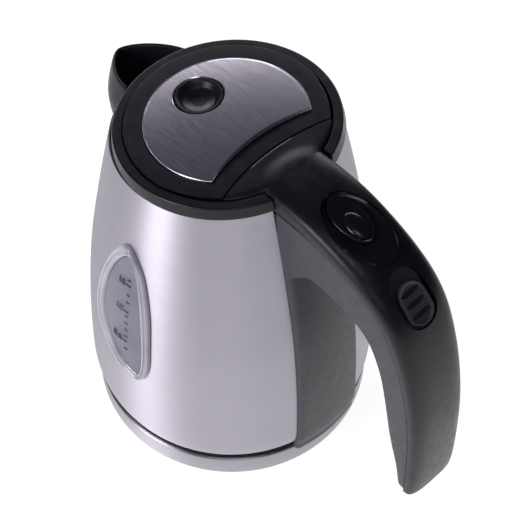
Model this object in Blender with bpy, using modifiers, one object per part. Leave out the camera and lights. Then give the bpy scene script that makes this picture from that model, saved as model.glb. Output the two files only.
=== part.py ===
"""Cordless jug kettle on its round power base.

Metres, +Z up. The origin is on the kettle's axis, on the surface that the base stands on.
+X is the handle, -X the spout, -Y the water gauge.
"""

import math

import bmesh
import bpy
import numpy as np
from mathutils import Matrix, Vector

MM = 0.001

# ---------------------------------------------------------------- driving dimensions (mm)
BASE_R = 75.2  # steel band of the power base
BASE_TOP = 16.2
SHELL_FOOT = 22.0  # lower edge of the steel jug
SHELL_T = 0.8
# outer radius of the steel jug against height
JUG = [(22.0, 74.6), (25.0, 75.6), (30.0, 76.4), (40.0, 76.4), (55.0, 75.8), (75.0, 74.6),
       (100.0, 72.4), (125.0, 69.4), (150.0, 65.2), (175.0, 60.6), (200.0, 55.5), (218.0, 51.6)]
TOP_Z = 213.4  # collar plane on the axis
TILT = math.radians(6.43)  # the collar rises towards the handle
COLLAR_R = 53.5
MOUTH_R = 48.3
LID_R = 47.9
LID_RISE = 1.1
INLAY_R = 38.7
ARC_MID_X, ARC_R = 28.0, 91.0  # rear seam of the lid
INLAY_MID_X, INLAY_ARC_R = 18.6, 86.0
DISH_X, DISH_R = -19.4, 11.3
HINGE_X, HINGE_DEPTH = 24.0, 2.6  # lid hinge, in the collar's plane
HANDLE_W = 17.8  # half width at the collar; the grip slims towards its tip
HALF_Z, HALF_W = (62, 100, 140, 178, 210), (15.6, 15.8, 16.2, 17.0, 17.8)
BUTTON_X, BUTTON_Z, BUTTON_LEAN = 79.7, 219.2, math.radians(9.2)
BUTTON_A, BUTTON_B, BUTTON_TRAVEL = 13.4, 7.6, 2.5
SWITCH_X, SWITCH_Z, SWITCH_LEAN = 119.5, 200.5, math.radians(41.6)
SWITCH_TRAVEL = 4.0
GAP = 0.3
CROWN = 8.4  # handle top above its side seam

# side seam of the handle, from the collar to the tip (x, z)
SEAM = [(44, 210.6), (60, 212.2), (73, 212.0), (86, 209.8), (98, 206.3), (108.9, 200.8), (116.7, 194.1),
        (121.9, 186.8), (126.7, 176.8), (131.2, 164.7), (135.1, 151), (138.3, 136.3), (140.6, 120), (142, 104.4),
        (143, 89), (143.5, 75), (143, 62)]
# inner (finger) side of the handle
GRIP = [(139.9, 66), (136.5, 76.7), (133.5, 86), (130.6, 96), (127.6, 107.4), (125.1, 119.8), (122.8, 132), (120.3, 143.7),
        (117, 155.3), (112.4, 166.2), (106, 174.0), (98, 178), (88, 180.0), (80, 180.4), (73, 179.6),
        (69, 177), (66.8, 172)]
# gauge window outline: (distance round the jug from -Y towards the handle, height)
WINDOW = [(1, 173), (9.5, 164), (14, 150), (16.6, 132), (17.2, 112), (16.6, 92), (13, 80.5), (8, 78.5),
          (0.5, 80.5), (-9.5, 89), (-17, 100), (-19.5, 114), (-18, 134), (-14, 151), (-7, 167)]
WINDOW_ARC_R = 67.0

scene = bpy.context.scene
for obj in list(bpy.data.objects):
    bpy.data.objects.remove(obj, do_unlink=True)

kettle = bpy.data.collections.new("electric_kettle")
cutters = bpy.data.collections.new("cutters")
scene.collection.children.link(kettle)
scene.collection.children.link(cutters)
cutters.hide_render = True


def material(name, colour, rough, metal=0.0, alpha=1.0):
    mat = bpy.data.materials.new(name)
    mat.use_nodes = True
    shader = mat.node_tree.nodes["Principled BSDF"]
    shader.inputs["Base Color"].default_value = (*colour, 1)
    shader.inputs["Roughness"].default_value = rough
    shader.inputs["Metallic"].default_value = metal
    shader.inputs["Alpha"].default_value = alpha
    return mat


STEEL = ((0.62, 0.60, 0.62), 0.32, 1.0)
BLACK = ((0.02, 0.02, 0.024), 0.38)
GREY = ((0.05, 0.05, 0.058), 0.5)
GLOSS = ((0.012, 0.012, 0.015), 0.12)
WHITE = ((0.75, 0.74, 0.70), 0.5)
BRASS = ((0.75, 0.52, 0.22), 0.35, 1.0)
RUBBER = ((0.06, 0.06, 0.06), 0.8)
SILICONE = ((0.70, 0.68, 0.66), 0.6)
CLEAR = ((0.75, 0.77, 0.82), 0.1, 0.0, 0.5)


def add(name, mesh, look, where=kettle, parent=None, location=(0, 0, 0), rotation=(0, 0, 0)):
    obj = bpy.data.objects.new(name, mesh)
    where.objects.link(obj)
    if where is cutters:
        obj.hide_render = True
        obj.display_type = "WIRE"
    else:
        mesh.materials.append(material(name, *look))
        for polygon in mesh.polygons:
            polygon.use_smooth = True
        mesh.set_sharp_from_angle(angle=math.radians(35))
    obj.parent = parent
    obj.location = Vector(location) * MM
    obj.rotation_euler = rotation
    return obj


def empty(name, location, rotation=(0, 0, 0), parent=None):
    obj = bpy.data.objects.new(name, None)
    obj.empty_display_size = 0.01
    kettle.objects.link(obj)
    obj.parent = parent
    obj.location = Vector(location) * MM
    obj.rotation_euler = rotation
    return obj


def turned(name, profile, look=None, where=kettle, steps=24, **place):
    """A turned solid from a (radius, height) profile in mm, closed on itself or on the axis."""
    area = sum(a[0] * b[1] - b[0] * a[1] for a, b in zip(profile, profile[1:] + profile[:1]))
    points = profile if area < 0 else profile[::-1]
    on_axis = [i for i, p in enumerate(points) if p[0] == 0]
    closed = not on_axis
    if on_axis:
        # open the outline between its two points on the axis, so it runs top to bottom
        cut = next(i for i in on_axis if points[(i - 1) % len(points)][0] == 0)
        points = points[cut:] + points[:cut]
    mesh = bpy.data.meshes.new(name)
    edges = [(i, i + 1) for i in range(len(points) - 1)] + ([(len(points) - 1, 0)] if closed else [])
    mesh.from_pydata([(p[0] * MM, 0, p[1] * MM) for p in points], edges, [])
    obj = add(name, mesh, look, where, **place)
    screw = obj.modifiers.new("turn", "SCREW")
    screw.axis = "Z"
    screw.steps = screw.render_steps = steps
    screw.use_merge_vertices = True
    screw.merge_threshold = 0.00001
    screw.use_smooth_shade = True
    return obj


def finish_mesh(name, bm, look, where, smooth=True, **place):
    bmesh.ops.recalc_face_normals(bm, faces=bm.faces)
    mesh = bpy.data.meshes.new(name)
    bm.to_mesh(mesh)
    bm.free()
    return add(name, mesh, look, where, **place)


def cylinder(name, radius, z0, z1, look=None, where=kettle, centre=(0, 0), axis="Z", steps=24, radius2=None, **place):
    bm = bmesh.new()
    bmesh.ops.create_cone(bm, cap_ends=True, segments=steps, radius1=radius * MM,
                          radius2=(radius if radius2 is None else radius2) * MM, depth=(z1 - z0) * MM)
    bmesh.ops.translate(bm, verts=bm.verts, vec=(0, 0, (z0 + z1) / 2 * MM))
    if axis == "X":
        bmesh.ops.rotate(bm, verts=bm.verts, cent=(0, 0, 0), matrix=Matrix.Rotation(math.pi / 2, 3, "Y"))
        bmesh.ops.translate(bm, verts=bm.verts, vec=(0, centre[0] * MM, centre[1] * MM))
    elif axis == "Y":
        bmesh.ops.rotate(bm, verts=bm.verts, cent=(0, 0, 0), matrix=Matrix.Rotation(-math.pi / 2, 3, "X"))
        bmesh.ops.translate(bm, verts=bm.verts, vec=(centre[0] * MM, 0, centre[1] * MM))
    else:
        bmesh.ops.translate(bm, verts=bm.verts, vec=(centre[0] * MM, centre[1] * MM, 0))
    return finish_mesh(name, bm, look, where, **place)


def box(name, lo, hi, look=None, where=kettle, bevel=0.0, **place):
    bm = bmesh.new()
    bmesh.ops.create_cube(bm, size=1.0)
    for v in bm.verts:
        for i in range(3):
            v.co[i] = (lo[i] if v.co[i] < 0 else hi[i]) * MM
    if bevel:
        bmesh.ops.bevel(bm, geom=bm.edges[:], offset=bevel * MM, segments=2, profile=0.5, affect="EDGES")
    return finish_mesh(name, bm, look, where, **place)


def prism(name, outline, half, look=None, where=kettle, plane="XZ", lo=None, **place):
    """A flat outline given a thickness: 'XZ' goes from -half to half in Y, 'XY' from lo to half in Z."""
    bm = bmesh.new()
    if plane == "XZ":
        verts = [bm.verts.new((x * MM, -half * MM, z * MM)) for x, z in outline]
        way = (0, 2 * half * MM, 0)
    else:
        verts = [bm.verts.new((x * MM, y * MM, lo * MM)) for x, y in outline]
        way = (0, 0, (half - lo) * MM)
    face = bm.faces.new(verts)
    grown = bmesh.ops.extrude_face_region(bm, geom=[face])
    bmesh.ops.translate(bm, vec=way, verts=[g for g in grown["geom"] if isinstance(g, bmesh.types.BMVert)])
    return finish_mesh(name, bm, look, where, **place)


def loft(name, rings, look=None, where=kettle, **place):
    """Sections with the same number of points, joined one to the next and capped at both ends."""
    bm = bmesh.new()
    rows = [[bm.verts.new([c * MM for c in p]) for p in ring] for ring in rings]
    n = len(rows[0])
    for a, b in zip(rows, rows[1:]):
        for i in range(n):
            bm.faces.new((a[i], a[(i + 1) % n], b[(i + 1) % n], b[i]))
    bm.faces.new(rows[0][::-1])
    bm.faces.new(rows[-1])
    return finish_mesh(name, bm, look, where, **place)


def cut(obj, cutter, operation="DIFFERENCE"):
    mod = obj.modifiers.new(cutter.name, "BOOLEAN")
    mod.operation = operation
    mod.solver = "EXACT"
    mod.object = cutter
    return obj


def tube(name, points, radius, look, resolution=2, where=kettle):
    """A round wire or tube through the points, made a mesh with its caps welded on."""
    curve = bpy.data.curves.new(name, "CURVE")
    curve.dimensions = "3D"
    curve.bevel_depth = radius * MM
    curve.bevel_resolution = resolution
    curve.use_fill_caps = True
    spline = curve.splines.new("POLY")
    spline.points.add(len(points) - 1)
    for point, place in zip(spline.points, points):
        point.co = (*[c * MM for c in place], 1)
    guide = bpy.data.objects.new(name + "_path", curve)
    where.objects.link(guide)
    bpy.context.view_layer.update()
    mesh = bpy.data.meshes.new_from_object(guide.evaluated_get(bpy.context.evaluated_depsgraph_get()))
    bpy.data.objects.remove(guide, do_unlink=True)
    bm = bmesh.new()
    bm.from_mesh(mesh)
    bmesh.ops.remove_doubles(bm, verts=bm.verts, dist=0.00001)
    return finish_mesh(name, bm, look, where)


def jug_radius(z):
    return float(np.interp(z, [p[0] for p in JUG], [p[1] for p in JUG]))


def jug_solid(name, grow, z0=10.0, z1=218.0, steps=36, where=cutters):
    """The jug's outer form, grown by a clearance, as a cutter."""
    heights = sorted({z0, z1, *[z for z, _ in JUG if z0 < z < z1]}, reverse=True)
    rows = [(jug_radius(z) + grow, z) for z in heights]
    return turned(name, [(0, z1)] + rows + [(0, z0)], where=where, steps=steps)


def smooth_outline(points, per=3):
    """A closed Catmull-Rom curve through the points."""
    pts = [Vector((p[0], p[1])) for p in points]
    out = []
    for i in range(len(pts)):
        a, b, c, d = (pts[(i + k - 1) % len(pts)] for k in range(4))
        for j in range(per):
            t = j / per
            out.append(0.5 * (2 * b + (c - a) * t + (2 * a - 5 * b + 4 * c - d) * t * t + (3 * b - a - 3 * c + d) * t ** 3))
    return [(p.x, p.y) for p in out]


top = empty("collar_plane", (0, 0, TOP_Z), (0, -TILT, 0))
lid_pivot = empty("lid_pivot", (HINGE_X, 0, LID_RISE - HINGE_DEPTH), parent=top)
LID_OFF = (-HINGE_X, 0, HINGE_DEPTH - LID_RISE)
above_collar = box("cut_above_collar", (-120, -120, -6.3), (120, 120, 120), where=cutters, parent=top)

# ---------------------------------------------------------------- power base
plate = turned("base_bottom_plate", [(0, 3.4), (73.9, 3.4), (73.9, 1.6), (22, 1.6), (21.5, 0), (0, 0)], GREY, steps=24)
turned("base_steel_jacket", [(74.4, 1.4), (74.4, 15.5), (72.6, 15.5), (72.6, 16.2), (74.6, 16.2), (75.0, 16.0),
                             (BASE_R, 15.5), (BASE_R, 1.4)], STEEL, steps=36)
jacket = bpy.data.objects["base_steel_jacket"]
housing = turned("base_housing", [(15.5, 12.2), (15.5, 14), (60, 14), (68, 15.1), (73.9, 15.1), (73.9, 3.8), (72.1, 3.8),
                                  (72.1, 13.3), (68.4, 13.3), (60, 12.2)], BLACK, steps=24)
for i in range(3):
    a = math.radians(90 + 120 * i)
    c = (40 * math.cos(a), 40 * math.sin(a))
    boss = cylinder(f"add_boss_{i + 1}", 3.4, 3.8, 12.8, where=cutters, centre=c, steps=16)
    hole = cylinder(f"cut_boss_{i + 1}", 1.6, 3.0, 10.5, where=cutters, centre=c, steps=12)
    cut(cut(housing, boss, "UNION"), hole)
    cut(plate, cylinder(f"cut_plate_{i + 1}", 1.7, 1.0, 4.0, where=cutters, centre=c, steps=12))
    cut(plate, cylinder(f"cut_head_{i + 1}", 3.3, 1.0, 2.6, where=cutters, centre=c, steps=16))
    screw = turned(f"base_screw_{i + 1}", [(0, 9.5), (1.2, 9.2), (1.2, 2.3), (2.9, 2.3), (2.9, 1.8), (2.4, 1.7), (0, 1.7)],
                   ((0.55, 0.55, 0.57), 0.35, 1.0), steps=12, location=(c[0], c[1], 0))
for i in range(4):
    a = math.radians(45 + 90 * i)
    cylinder(f"base_foot_{i + 1}", 5.0, 0.0, 1.3, RUBBER, centre=(62 * math.cos(a), 62 * math.sin(a)), steps=20)
turned("base_connector_tower", [(3.0, 24.0), (7.6, 24.0), (7.6, 12.0), (11.4, 12.0), (11.4, 24.0), (14.4, 24.0), (15.2, 23.2),
                                (15.2, 4.0), (1.2, 4.0), (1.2, 11.0), (3.0, 11.0)], WHITE, steps=24)
turned("base_centre_contact", [(2.1, 23.0), (2.7, 23.0), (2.7, 11.4), (2.1, 11.4)], BRASS, steps=16)
turned("base_ring_contact", [(7.9, 22.0), (8.4, 22.0), (8.4, 12.3), (7.9, 12.3)], BRASS, steps=24)
# cord outlet on the far side of the base: the hole and its grommet
outlet = cylinder("cut_cord_outlet", 4.35, -80, -66, where=cutters, centre=(0, 8.6), axis="X", steps=20)
cut(jacket, outlet)
cut(housing, outlet)
cord_ring = turned("base_cord_grommet", [(3.3, 0), (3.3, 8.0), (5.8, 8.0), (5.8, 5.4), (4.0, 5.4), (4.0, 0)], RUBBER,
                   steps=20, location=(-70.6, 0, 8.6), rotation=(0, -math.pi / 2, 0))

# ---------------------------------------------------------------- connector under the jug
turned("connector_socket", [(0, 30.6), (18.4, 30.6), (18.4, 26.0), (11.0, 26.0), (10.6, 18.0), (9.2, 18.0), (8.8, 26.0), (1.7, 26.0),
                            (1.5, 17.0), (0, 16.6)], WHITE, steps=24)

# ---------------------------------------------------------------- jug
shell_rows = [(jug_radius(z), z) for z in [22, 25, 30, 40, 55, 75, 100, 125, 150, 175, 200, 218]]
shell = turned("body_shell", [(r - SHELL_T, z) for r, z in shell_rows] + shell_rows[::-1], STEEL, steps=36)
cut(shell, above_collar)
window_pts = smooth_outline(WINDOW, 2)


def window_prism(name, grow, r0, r1, look=None, where=cutters):
    """The gauge outline on the jug's side, as a block from radius r0 to r1, grown outwards by a margin."""
    lo = [min(p[k] for p in window_pts) for k in (0, 1)]
    hi = [max(p[k] for p in window_pts) for k in (0, 1)]
    middle = [(a + b) / 2 for a, b in zip(lo, hi)]
    scale = [1 + 2 * grow / (b - a) for a, b in zip(lo, hi)]
    rings = []
    for radius in (r0, r1):
        ring = []
        for s, z in window_pts:
            s, z = middle[0] + (s - middle[0]) * scale[0], middle[1] + (z - middle[1]) * scale[1]
            angle = s / WINDOW_ARC_R - math.pi / 2
            ring.append((radius * math.cos(angle), radius * math.sin(angle), z))
        rings.append(ring)
    return loft(name, rings, look, where)


cut(shell, window_prism("cut_window", -4.0, 48, 90))
cut(shell, box("cut_shell_handle", (40, -18.4, -9.0), (70, 18.4, 5), where=cutters, parent=top))
pour = cylinder("cut_pour_opening", 12.5, -90, -40, where=cutters, centre=(0, 184), axis="X", steps=24)
cut(shell, pour)

bottom = turned("kettle_bottom_cover", [(19, 29.5), (26, 29.5), (26, 18.8), (71, 18.8), (71, 24.5), (73.3, 24.5), (73.3, 21.6), (72.6, 21.4),
                                        (72.6, 20.6), (74.2, 20.3), (74.2, 18.9), (72.8, 18.6), (72.8, 17.7), (74.0, 17.4), (73.8, 16.6),
                                        (24, 16.6), (24, 27.3), (19, 27.3)], BLACK, steps=24)
turned("heating_plate", [(0, 39.0), (70, 39.0), (73.6, 42.5), (75.0, 42.5), (75.0, 41.6), (74.0, 41.2), (70.6, 37.6), (0, 37.6)], STEEL, steps=24)
coil = [(47 * math.cos(math.radians(a)), 47 * math.sin(math.radians(a)), 33.9) for a in range(20, 341, 10)]
tube("heating_element", coil, 3.2, ((0.45, 0.42, 0.40), 0.4, 1.0))
control = cylinder("thermostat_controller", 21, 31.1, 37.2, WHITE, steps=24)

# collar: the black ring under the lid
collar = turned("collar", [(MOUTH_R, 0), (52.9, 0), (COLLAR_R, -0.6), (54.1, -6.0), (51.5, -6.0), (51.5, -14.0), (49.2, -14.0), (49.2, -1.3),
                           (MOUTH_R, -1.1)], BLACK, steps=36, parent=top)
cut(collar, box("cut_collar_handle", (40, -19.3, -7.5), (70, 19.3, 3), where=cutters, parent=top))
cut(collar, box("cut_collar_latch", (40, -5.8, -8.4), (70, 5.8, -7.0), where=cutters, parent=top))
cut(collar, cylinder("cut_collar_pour", 9.0, -70, -40, where=cutters, centre=(0, 190), axis="X", steps=20))

# spout: an open trough, wide at the jug and pinched to a lip
SPOUT = [  # (root x, nose x, half width, roundness, z at the root, z at the nose)
    (49.5, 79.5, 18.6, 1.30, 205.6, 195.6), (51.0, 78.6, 19.2, 1.55, 198.0, 190.5), (53.5, 76.6, 19.8, 1.80, 189.0, 183.5),
    (55.5, 73.8, 19.6, 2.0, 179.0, 175.0), (57.0, 70.8, 18.2, 2.0, 168.5, 166.0), (58.0, 68.0, 15.5, 2.0, 157.0, 156.5),
    (58.5, 66.2, 12.0, 2.0, 149.5, 149.0)]


def spout_rings(inset, drop):
    rings = []
    for root, nose, half, power, z_root, z_nose in SPOUT:
        ring = []
        for i in range(15):
            u = -math.pi / 2 + math.pi * i / 14
            c, s = math.cos(u), math.sin(u)
            x = root + (nose - inset - root) * abs(c) ** (2 / power)
            y = (half - inset) * math.copysign(abs(s) ** (2 / power), s)
            z = z_root + (z_nose - z_root) * abs(c) ** (2 / power) + drop
            ring.append((-x, y, z))
        ring += [(-40, half - inset, z_root + drop), (-40, -(half - inset), z_root + drop)]
        rings.append(ring)
    return rings


spout = loft("spout", spout_rings(0, 0), GLOSS)
inner = spout_rings(2.0, 0)
lifted = [[(x, y, z + 12) for x, y, z in inner[0]]] + inner[:-2]
# the trough's floor closes above the foot of the spout
lifted[-1] = [(x, y, z) for x, y, z in lifted[-1]]
cut(spout, loft("cut_spout_trough", lifted, where=cutters))
cut(spout, jug_solid("cut_jug_for_spout", GAP, 140, 218))
cut(spout, turned("cut_collar_for_spout", [(0, 4), (COLLAR_R + 0.5, 4), (COLLAR_R + 0.5, -0.6), (54.6, -6.3), (54.6, -20), (0, -20)],
                  where=cutters, steps=36, parent=top))
# mesh filter across the pouring opening, inside the shell
filt = box("spout_filter", (-51.5, -10.5, 172), (-50.0, 10.5, 193), SILICONE)
for i in range(4):
    cut(filt, box(f"cut_filter_{i + 1}", (-55, -8.6 + 4.6 * i, 175), (-45, -5.2 + 4.6 * i, 190), where=cutters))

# water gauge: outer bezel, clear pane and gasket behind
frame = window_prism("gauge_window_frame", 0.0, 50, 90, CLEAR, kettle)
cut(frame, jug_solid("add_gauge_outer", 2.6, 60, 190), "INTERSECT")
cut(frame, jug_solid("cut_gauge_inner", GAP, 40, 200))
cut(frame, window_prism("cut_gauge_opening", -5.0, 45, 95))
pane = window_prism("gauge_window_pane", -5.7, 50, 90, CLEAR, kettle)
cut(pane, jug_solid("add_pane_outer", 1.6, 60, 190), "INTERSECT")
cut(pane, jug_solid("cut_pane_inner", -0.75, 40, 200))
gasket = window_prism("gauge_gasket", -2.0, 50, 90, SILICONE, kettle)
cut(gasket, jug_solid("add_gasket_outer", -1.1, 60, 190), "INTERSECT")
cut(gasket, jug_solid("cut_gasket_inner", -2.3, 40, 200))
cut(gasket, window_prism("cut_gasket_opening", -6.0, 40, 95))

# ---------------------------------------------------------------- lid (turns on the hinge behind its rear seam)
DROP = LID_RISE
lid = turned("lid_cover", [(0, DROP - 0.9), (INLAY_R + 0.2, DROP - 0.9), (INLAY_R + 0.2, DROP), (47.2, DROP), (LID_R, DROP - 0.6), (47.6, -7.0),
                           (46.2, -7.0), (46.4, DROP - 2.2), (0, DROP - 2.2)], BLACK, steps=36, parent=lid_pivot, location=LID_OFF)
lid_rear = cylinder("cut_lid_rear", ARC_R + 6.0, -20, 5, where=cutters, centre=(ARC_MID_X + ARC_R, 0), steps=64, radius2=ARC_R - 0.2, parent=top)
cut(lid, lid_rear)
trim = turned("cut_lid_trim", [(47.1, 3), (60, 3), (60, -12), (46.2, -12), (46.2, 0.3)], where=cutters, steps=36, parent=top)
cut(trim, box("cut_trim_front", (-70, -70, -20), (17.5, 70, 10), where=cutters, parent=top))
cut(lid, trim)
cut(lid, cylinder("cut_lid_dish", DISH_R + 0.3, -10, 5, where=cutters, centre=(DISH_X, 0), steps=24, parent=top))
inlay = cylinder("lid_steel_inlay", INLAY_R - 0.15, DROP - 0.6, DROP - 0.1, STEEL, steps=36, parent=lid_pivot, location=LID_OFF)
inlay_rear = cylinder("cut_inlay_rear", INLAY_ARC_R, -5, 6, where=cutters, centre=(INLAY_MID_X + INLAY_ARC_R, 0), steps=64, parent=top)
cut(inlay, inlay_rear)
cut(inlay, cylinder("cut_inlay_dish", DISH_R + 0.4, -10, 5, where=cutters, centre=(DISH_X, 0), steps=24, parent=top))
dish = turned("lid_dish", [(0, -1.6), (4, -1.3), (8, -0.2), (10.2, DROP + 0.2), (DISH_R, DROP + 0.2), (DISH_R, DROP - 0.4), (10.8, -3.4), (0, -3.4)],
              GLOSS, steps=24, parent=lid_pivot, location=(LID_OFF[0] + DISH_X, 0, LID_OFF[2]))
lid_under = turned("lid_inner_cover", [(0, -4.6), (10, -4.6), (43.0, -4.6), (43.6, -5.2), (43.6, -9.2), (41.8, -9.2), (41.4, -6.2), (0, -6.2)], SILICONE,
                   steps=24, parent=lid_pivot, location=LID_OFF)
cut(lid_under, box("cut_under_rear", (15, -60, -20), (70, 60, 5), where=cutters, parent=top))
turned_gasket = turned("lid_gasket", [(44.0, -7.4), (45.6, -7.4), (47.4, -7.6), (47.6, -8.6), (45.6, -9.6), (44.0, -9.6)], SILICONE,
                       steps=36, parent=lid_pivot, location=LID_OFF)
cut(turned_gasket, box("cut_gasket_rear", (15, -60, -20), (70, 60, 5), where=cutters, parent=top))

# hinge: two ears under the lid, pin and spring, bracket under the handle's cap
HZ = LID_RISE - HINGE_DEPTH
hinge_hole = cylinder("cut_hinge_pin", 0.95, -30, 30, where=cutters, centre=(HINGE_X, HZ), axis="Y", steps=12, parent=top)
for i, side in enumerate((-1, 1)):
    lo, hi = sorted((side * 11.0, side * 14.0))
    ear = box(f"add_lid_ear_{i + 1}", (HINGE_X - 2.2, lo, HZ - 1.6), (HINGE_X + 1.7, hi, DROP - 1.4), where=cutters, parent=top)
    cut(lid, ear, "UNION")
cut(lid, box("add_lid_riser", (16.5, -2.0, -5.7), (20.0, 2.0, DROP - 1.5), where=cutters, parent=top), "UNION")
cut(lid, box("add_lid_tail", (17.0, -1.9, -6.1), (37.0, 1.9, -4.95), where=cutters, parent=top), "UNION")
cut(lid, box("cut_lid_groove", (HINGE_X - 1.9, -10.4, -4.0), (HINGE_X + 1.9, 10.4, 0.15), where=cutters, parent=top))
cut(lid, hinge_hole)
cylinder("hinge_pin", 0.7, -15.5, 15.5, ((0.6, 0.6, 0.62), 0.25, 1.0), centre=(0, 0), axis="Y", steps=12, parent=top, location=(HINGE_X, 0, HZ))
spring_pts = [(1.15 * math.cos(0.52 * i), 2.9 + 2.2 * i / 36, 1.15 * math.sin(0.52 * i)) for i in range(37)]
spring = tube("hinge_spring", spring_pts, 0.22, ((0.6, 0.6, 0.62), 0.3, 1.0), resolution=0)
spring.parent = top
spring.location = (HINGE_X * MM, 0, HZ * MM)
bracket = box("hinge_bracket", (30.6, -9.5, -4.55), (34.2, 9.5, -3.4), GREY, parent=top)
for i, side in enumerate((-1, 1)):
    lo, hi = sorted((side * 5.8, side * 9.3))
    cut(bracket, box(f"add_bracket_rear_{i + 1}", (32.2, lo, -8.1), (34.3, hi, -3.9), where=cutters, parent=top), "UNION")
    cut(bracket, box(f"add_bracket_arm_{i + 1}", (23.1, lo + 0.1, -8.3), (34.1, hi - 0.1, -6.8), where=cutters, parent=top), "UNION")
    cut(bracket, box(f"add_bracket_post_{i + 1}", (22.9, lo, -8.2), (25.1, hi, HZ), where=cutters, parent=top), "UNION")
    cut(bracket, cylinder(f"add_bracket_ear_{i + 1}", 1.4, lo - 0.1, hi + 0.1, where=cutters, centre=(HINGE_X, HZ), axis="Y", steps=16, parent=top), "UNION")
cut(bracket, hinge_hole)

# ---------------------------------------------------------------- handle
seam = [Vector(p) for p in SEAM]


def seam_normal(i):
    a, b = seam[max(i - 1, 0)], seam[min(i + 1, len(seam) - 1)]
    t = (b - a).normalized()
    return Vector((-t.y, t.x))


def half_at(z):
    return float(np.interp(z, HALF_Z, HALF_W))


def handle_half(i):
    return half_at(seam[i].y) if i > 3 else HANDLE_W


def dome(i, half, height, base):
    """One section of the handle's top: a flat foot on the seam and a broad crown."""
    n = seam_normal(i)
    ring = []
    for k in range(11):
        u = math.pi * k / 10
        y = half * math.copysign(abs(math.cos(u)) ** 0.62, math.cos(u))
        h = base + (height - base) * abs(math.sin(u)) ** 0.62
        ring.append((seam[i].x + n.x * h, y, seam[i].y + n.y * h))
    return ring


last = len(seam) - 1
crown_of = [float(np.interp(i, [0, 1, 2, 3, 7, 11, 15, last], [7.6, 8.2, CROWN, CROWN, 8.3, 7.5, 6.6, 4.4])) for i in range(last + 1)]
upper = loft("handle_upper_shell", [dome(i, handle_half(i), crown_of[i], 0.15) for i in range(last + 1)], BLACK)
cap = cylinder("add_cap", LID_R, -3.0, DROP, where=cutters, steps=36, parent=top)
cap_front = cylinder("cut_cap_front", ARC_R - 6.5, -5.7, DROP + 0.02, where=cutters, centre=(ARC_MID_X + ARC_R, 0), steps=64, radius2=ARC_R - 0.6, parent=top)
cut(cap, cap_front, "INTERSECT")
cut(upper, cap, "UNION")
cavity = loft("cut_upper_cavity", [dome(i, handle_half(i) - 2.2, crown_of[i] - 2.2, -6.0) for i in range(1, last - 1)], where=cutters)
cut(upper, cavity)
hinge_room = box("cut_cap_hinge", (HINGE_X - 4, -16, -9), (HINGE_X + 11.0, 16, DROP - 1.3), where=cutters, parent=top)
cut(upper, hinge_room)
cut(upper, box("cut_latch_slot", (34, -5.8, -9.5), (62, 5.8, -5.6), where=cutters, parent=top))
above_seam = prism("cut_above_seam", [(s.x - seam_normal(i).x * 0.15, s.y - seam_normal(i).y * 0.15) for i, s in enumerate(seam)][:9]
                   + [(150, 200), (150, 260), (30, 260), (30, 210.3)], 40, where=cutters)
body_env = jug_solid("cut_jug_for_handle", GAP, 10, 218)
collar_env = turned("cut_collar_for_handle", [(MOUTH_R - 0.3, -1.0), (MOUTH_R - 0.3, 0.3), (52.9, 0.3), (COLLAR_R + 0.3, -0.4), (54.6, -6.3), (51.8, -6.3),
                                              (51.8, -14.3), (48.9, -14.3), (48.9, -1.3)], where=cutters, steps=36, parent=top)
cut(collar_env, box("cut_env_handle", (39.7, -19.0, -7.2), (70, 19.0, 3), where=cutters, parent=top))
cut(upper, collar_env)

button_frame = empty("button_frame", (BUTTON_X, 0, BUTTON_Z), (0, BUTTON_LEAN, 0))
switch_frame = empty("switch_frame", (SWITCH_X, 0, SWITCH_Z), (0, SWITCH_LEAN, 0))


def oval(a, b, count=28, x=0.0):
    return [(x + a * math.cos(2 * math.pi * i / count), b * math.sin(2 * math.pi * i / count)) for i in range(count)]


def stadium(half_length, half_width, count=8, x=0.0):
    flat = half_length - half_width
    pts = [(x + flat + half_width * math.cos(math.radians(a)), half_width * math.sin(math.radians(a))) for a in np.linspace(-90, 90, count)]
    pts += [(x - flat + half_width * math.cos(math.radians(a)), half_width * math.sin(math.radians(a))) for a in np.linspace(90, 270, count)]
    return pts


cut(upper, prism("cut_button_insert", oval(20.6, 12.6, 32, 5.5), 10, plane="XY", lo=-1.6, where=cutters, parent=button_frame))
cut(upper, prism("cut_button_hole", oval(17.0, 9.6, 28, 2.0), 10, plane="XY", lo=-12, where=cutters, parent=button_frame))
insert = prism("button_insert", oval(20.3, 12.3, 32, 5.5), -0.3, GLOSS, plane="XY", lo=-1.3, parent=button_frame)
cut(insert, prism("cut_insert_hole", oval(BUTTON_A + 0.4, BUTTON_B + 0.4), 10, plane="XY", lo=-12, where=cutters, parent=button_frame))
button = prism("lid_release_button", oval(BUTTON_A, BUTTON_B), 0.5, GLOSS, plane="XY", lo=-4.6, parent=button_frame)
cut(button, prism("cut_button_under", oval(BUTTON_A - 1.6, BUTTON_B - 1.6), -0.9, plane="XY", lo=-8, where=cutters, parent=button_frame))
cut(button, cylinder("add_button_post", 1.6, -7.4, -0.5, where=cutters, centre=(0, 0), steps=12, parent=button_frame), "UNION")
release_pts = [(2.6 * math.cos(0.62 * i), 2.6 * math.sin(0.62 * i), -1.6 - 6.6 * i / 50) for i in range(51)]
rspring = tube("release_spring", release_pts, 0.4, ((0.6, 0.6, 0.62), 0.3, 1.0), resolution=0)
rspring.parent = button_frame

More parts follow.
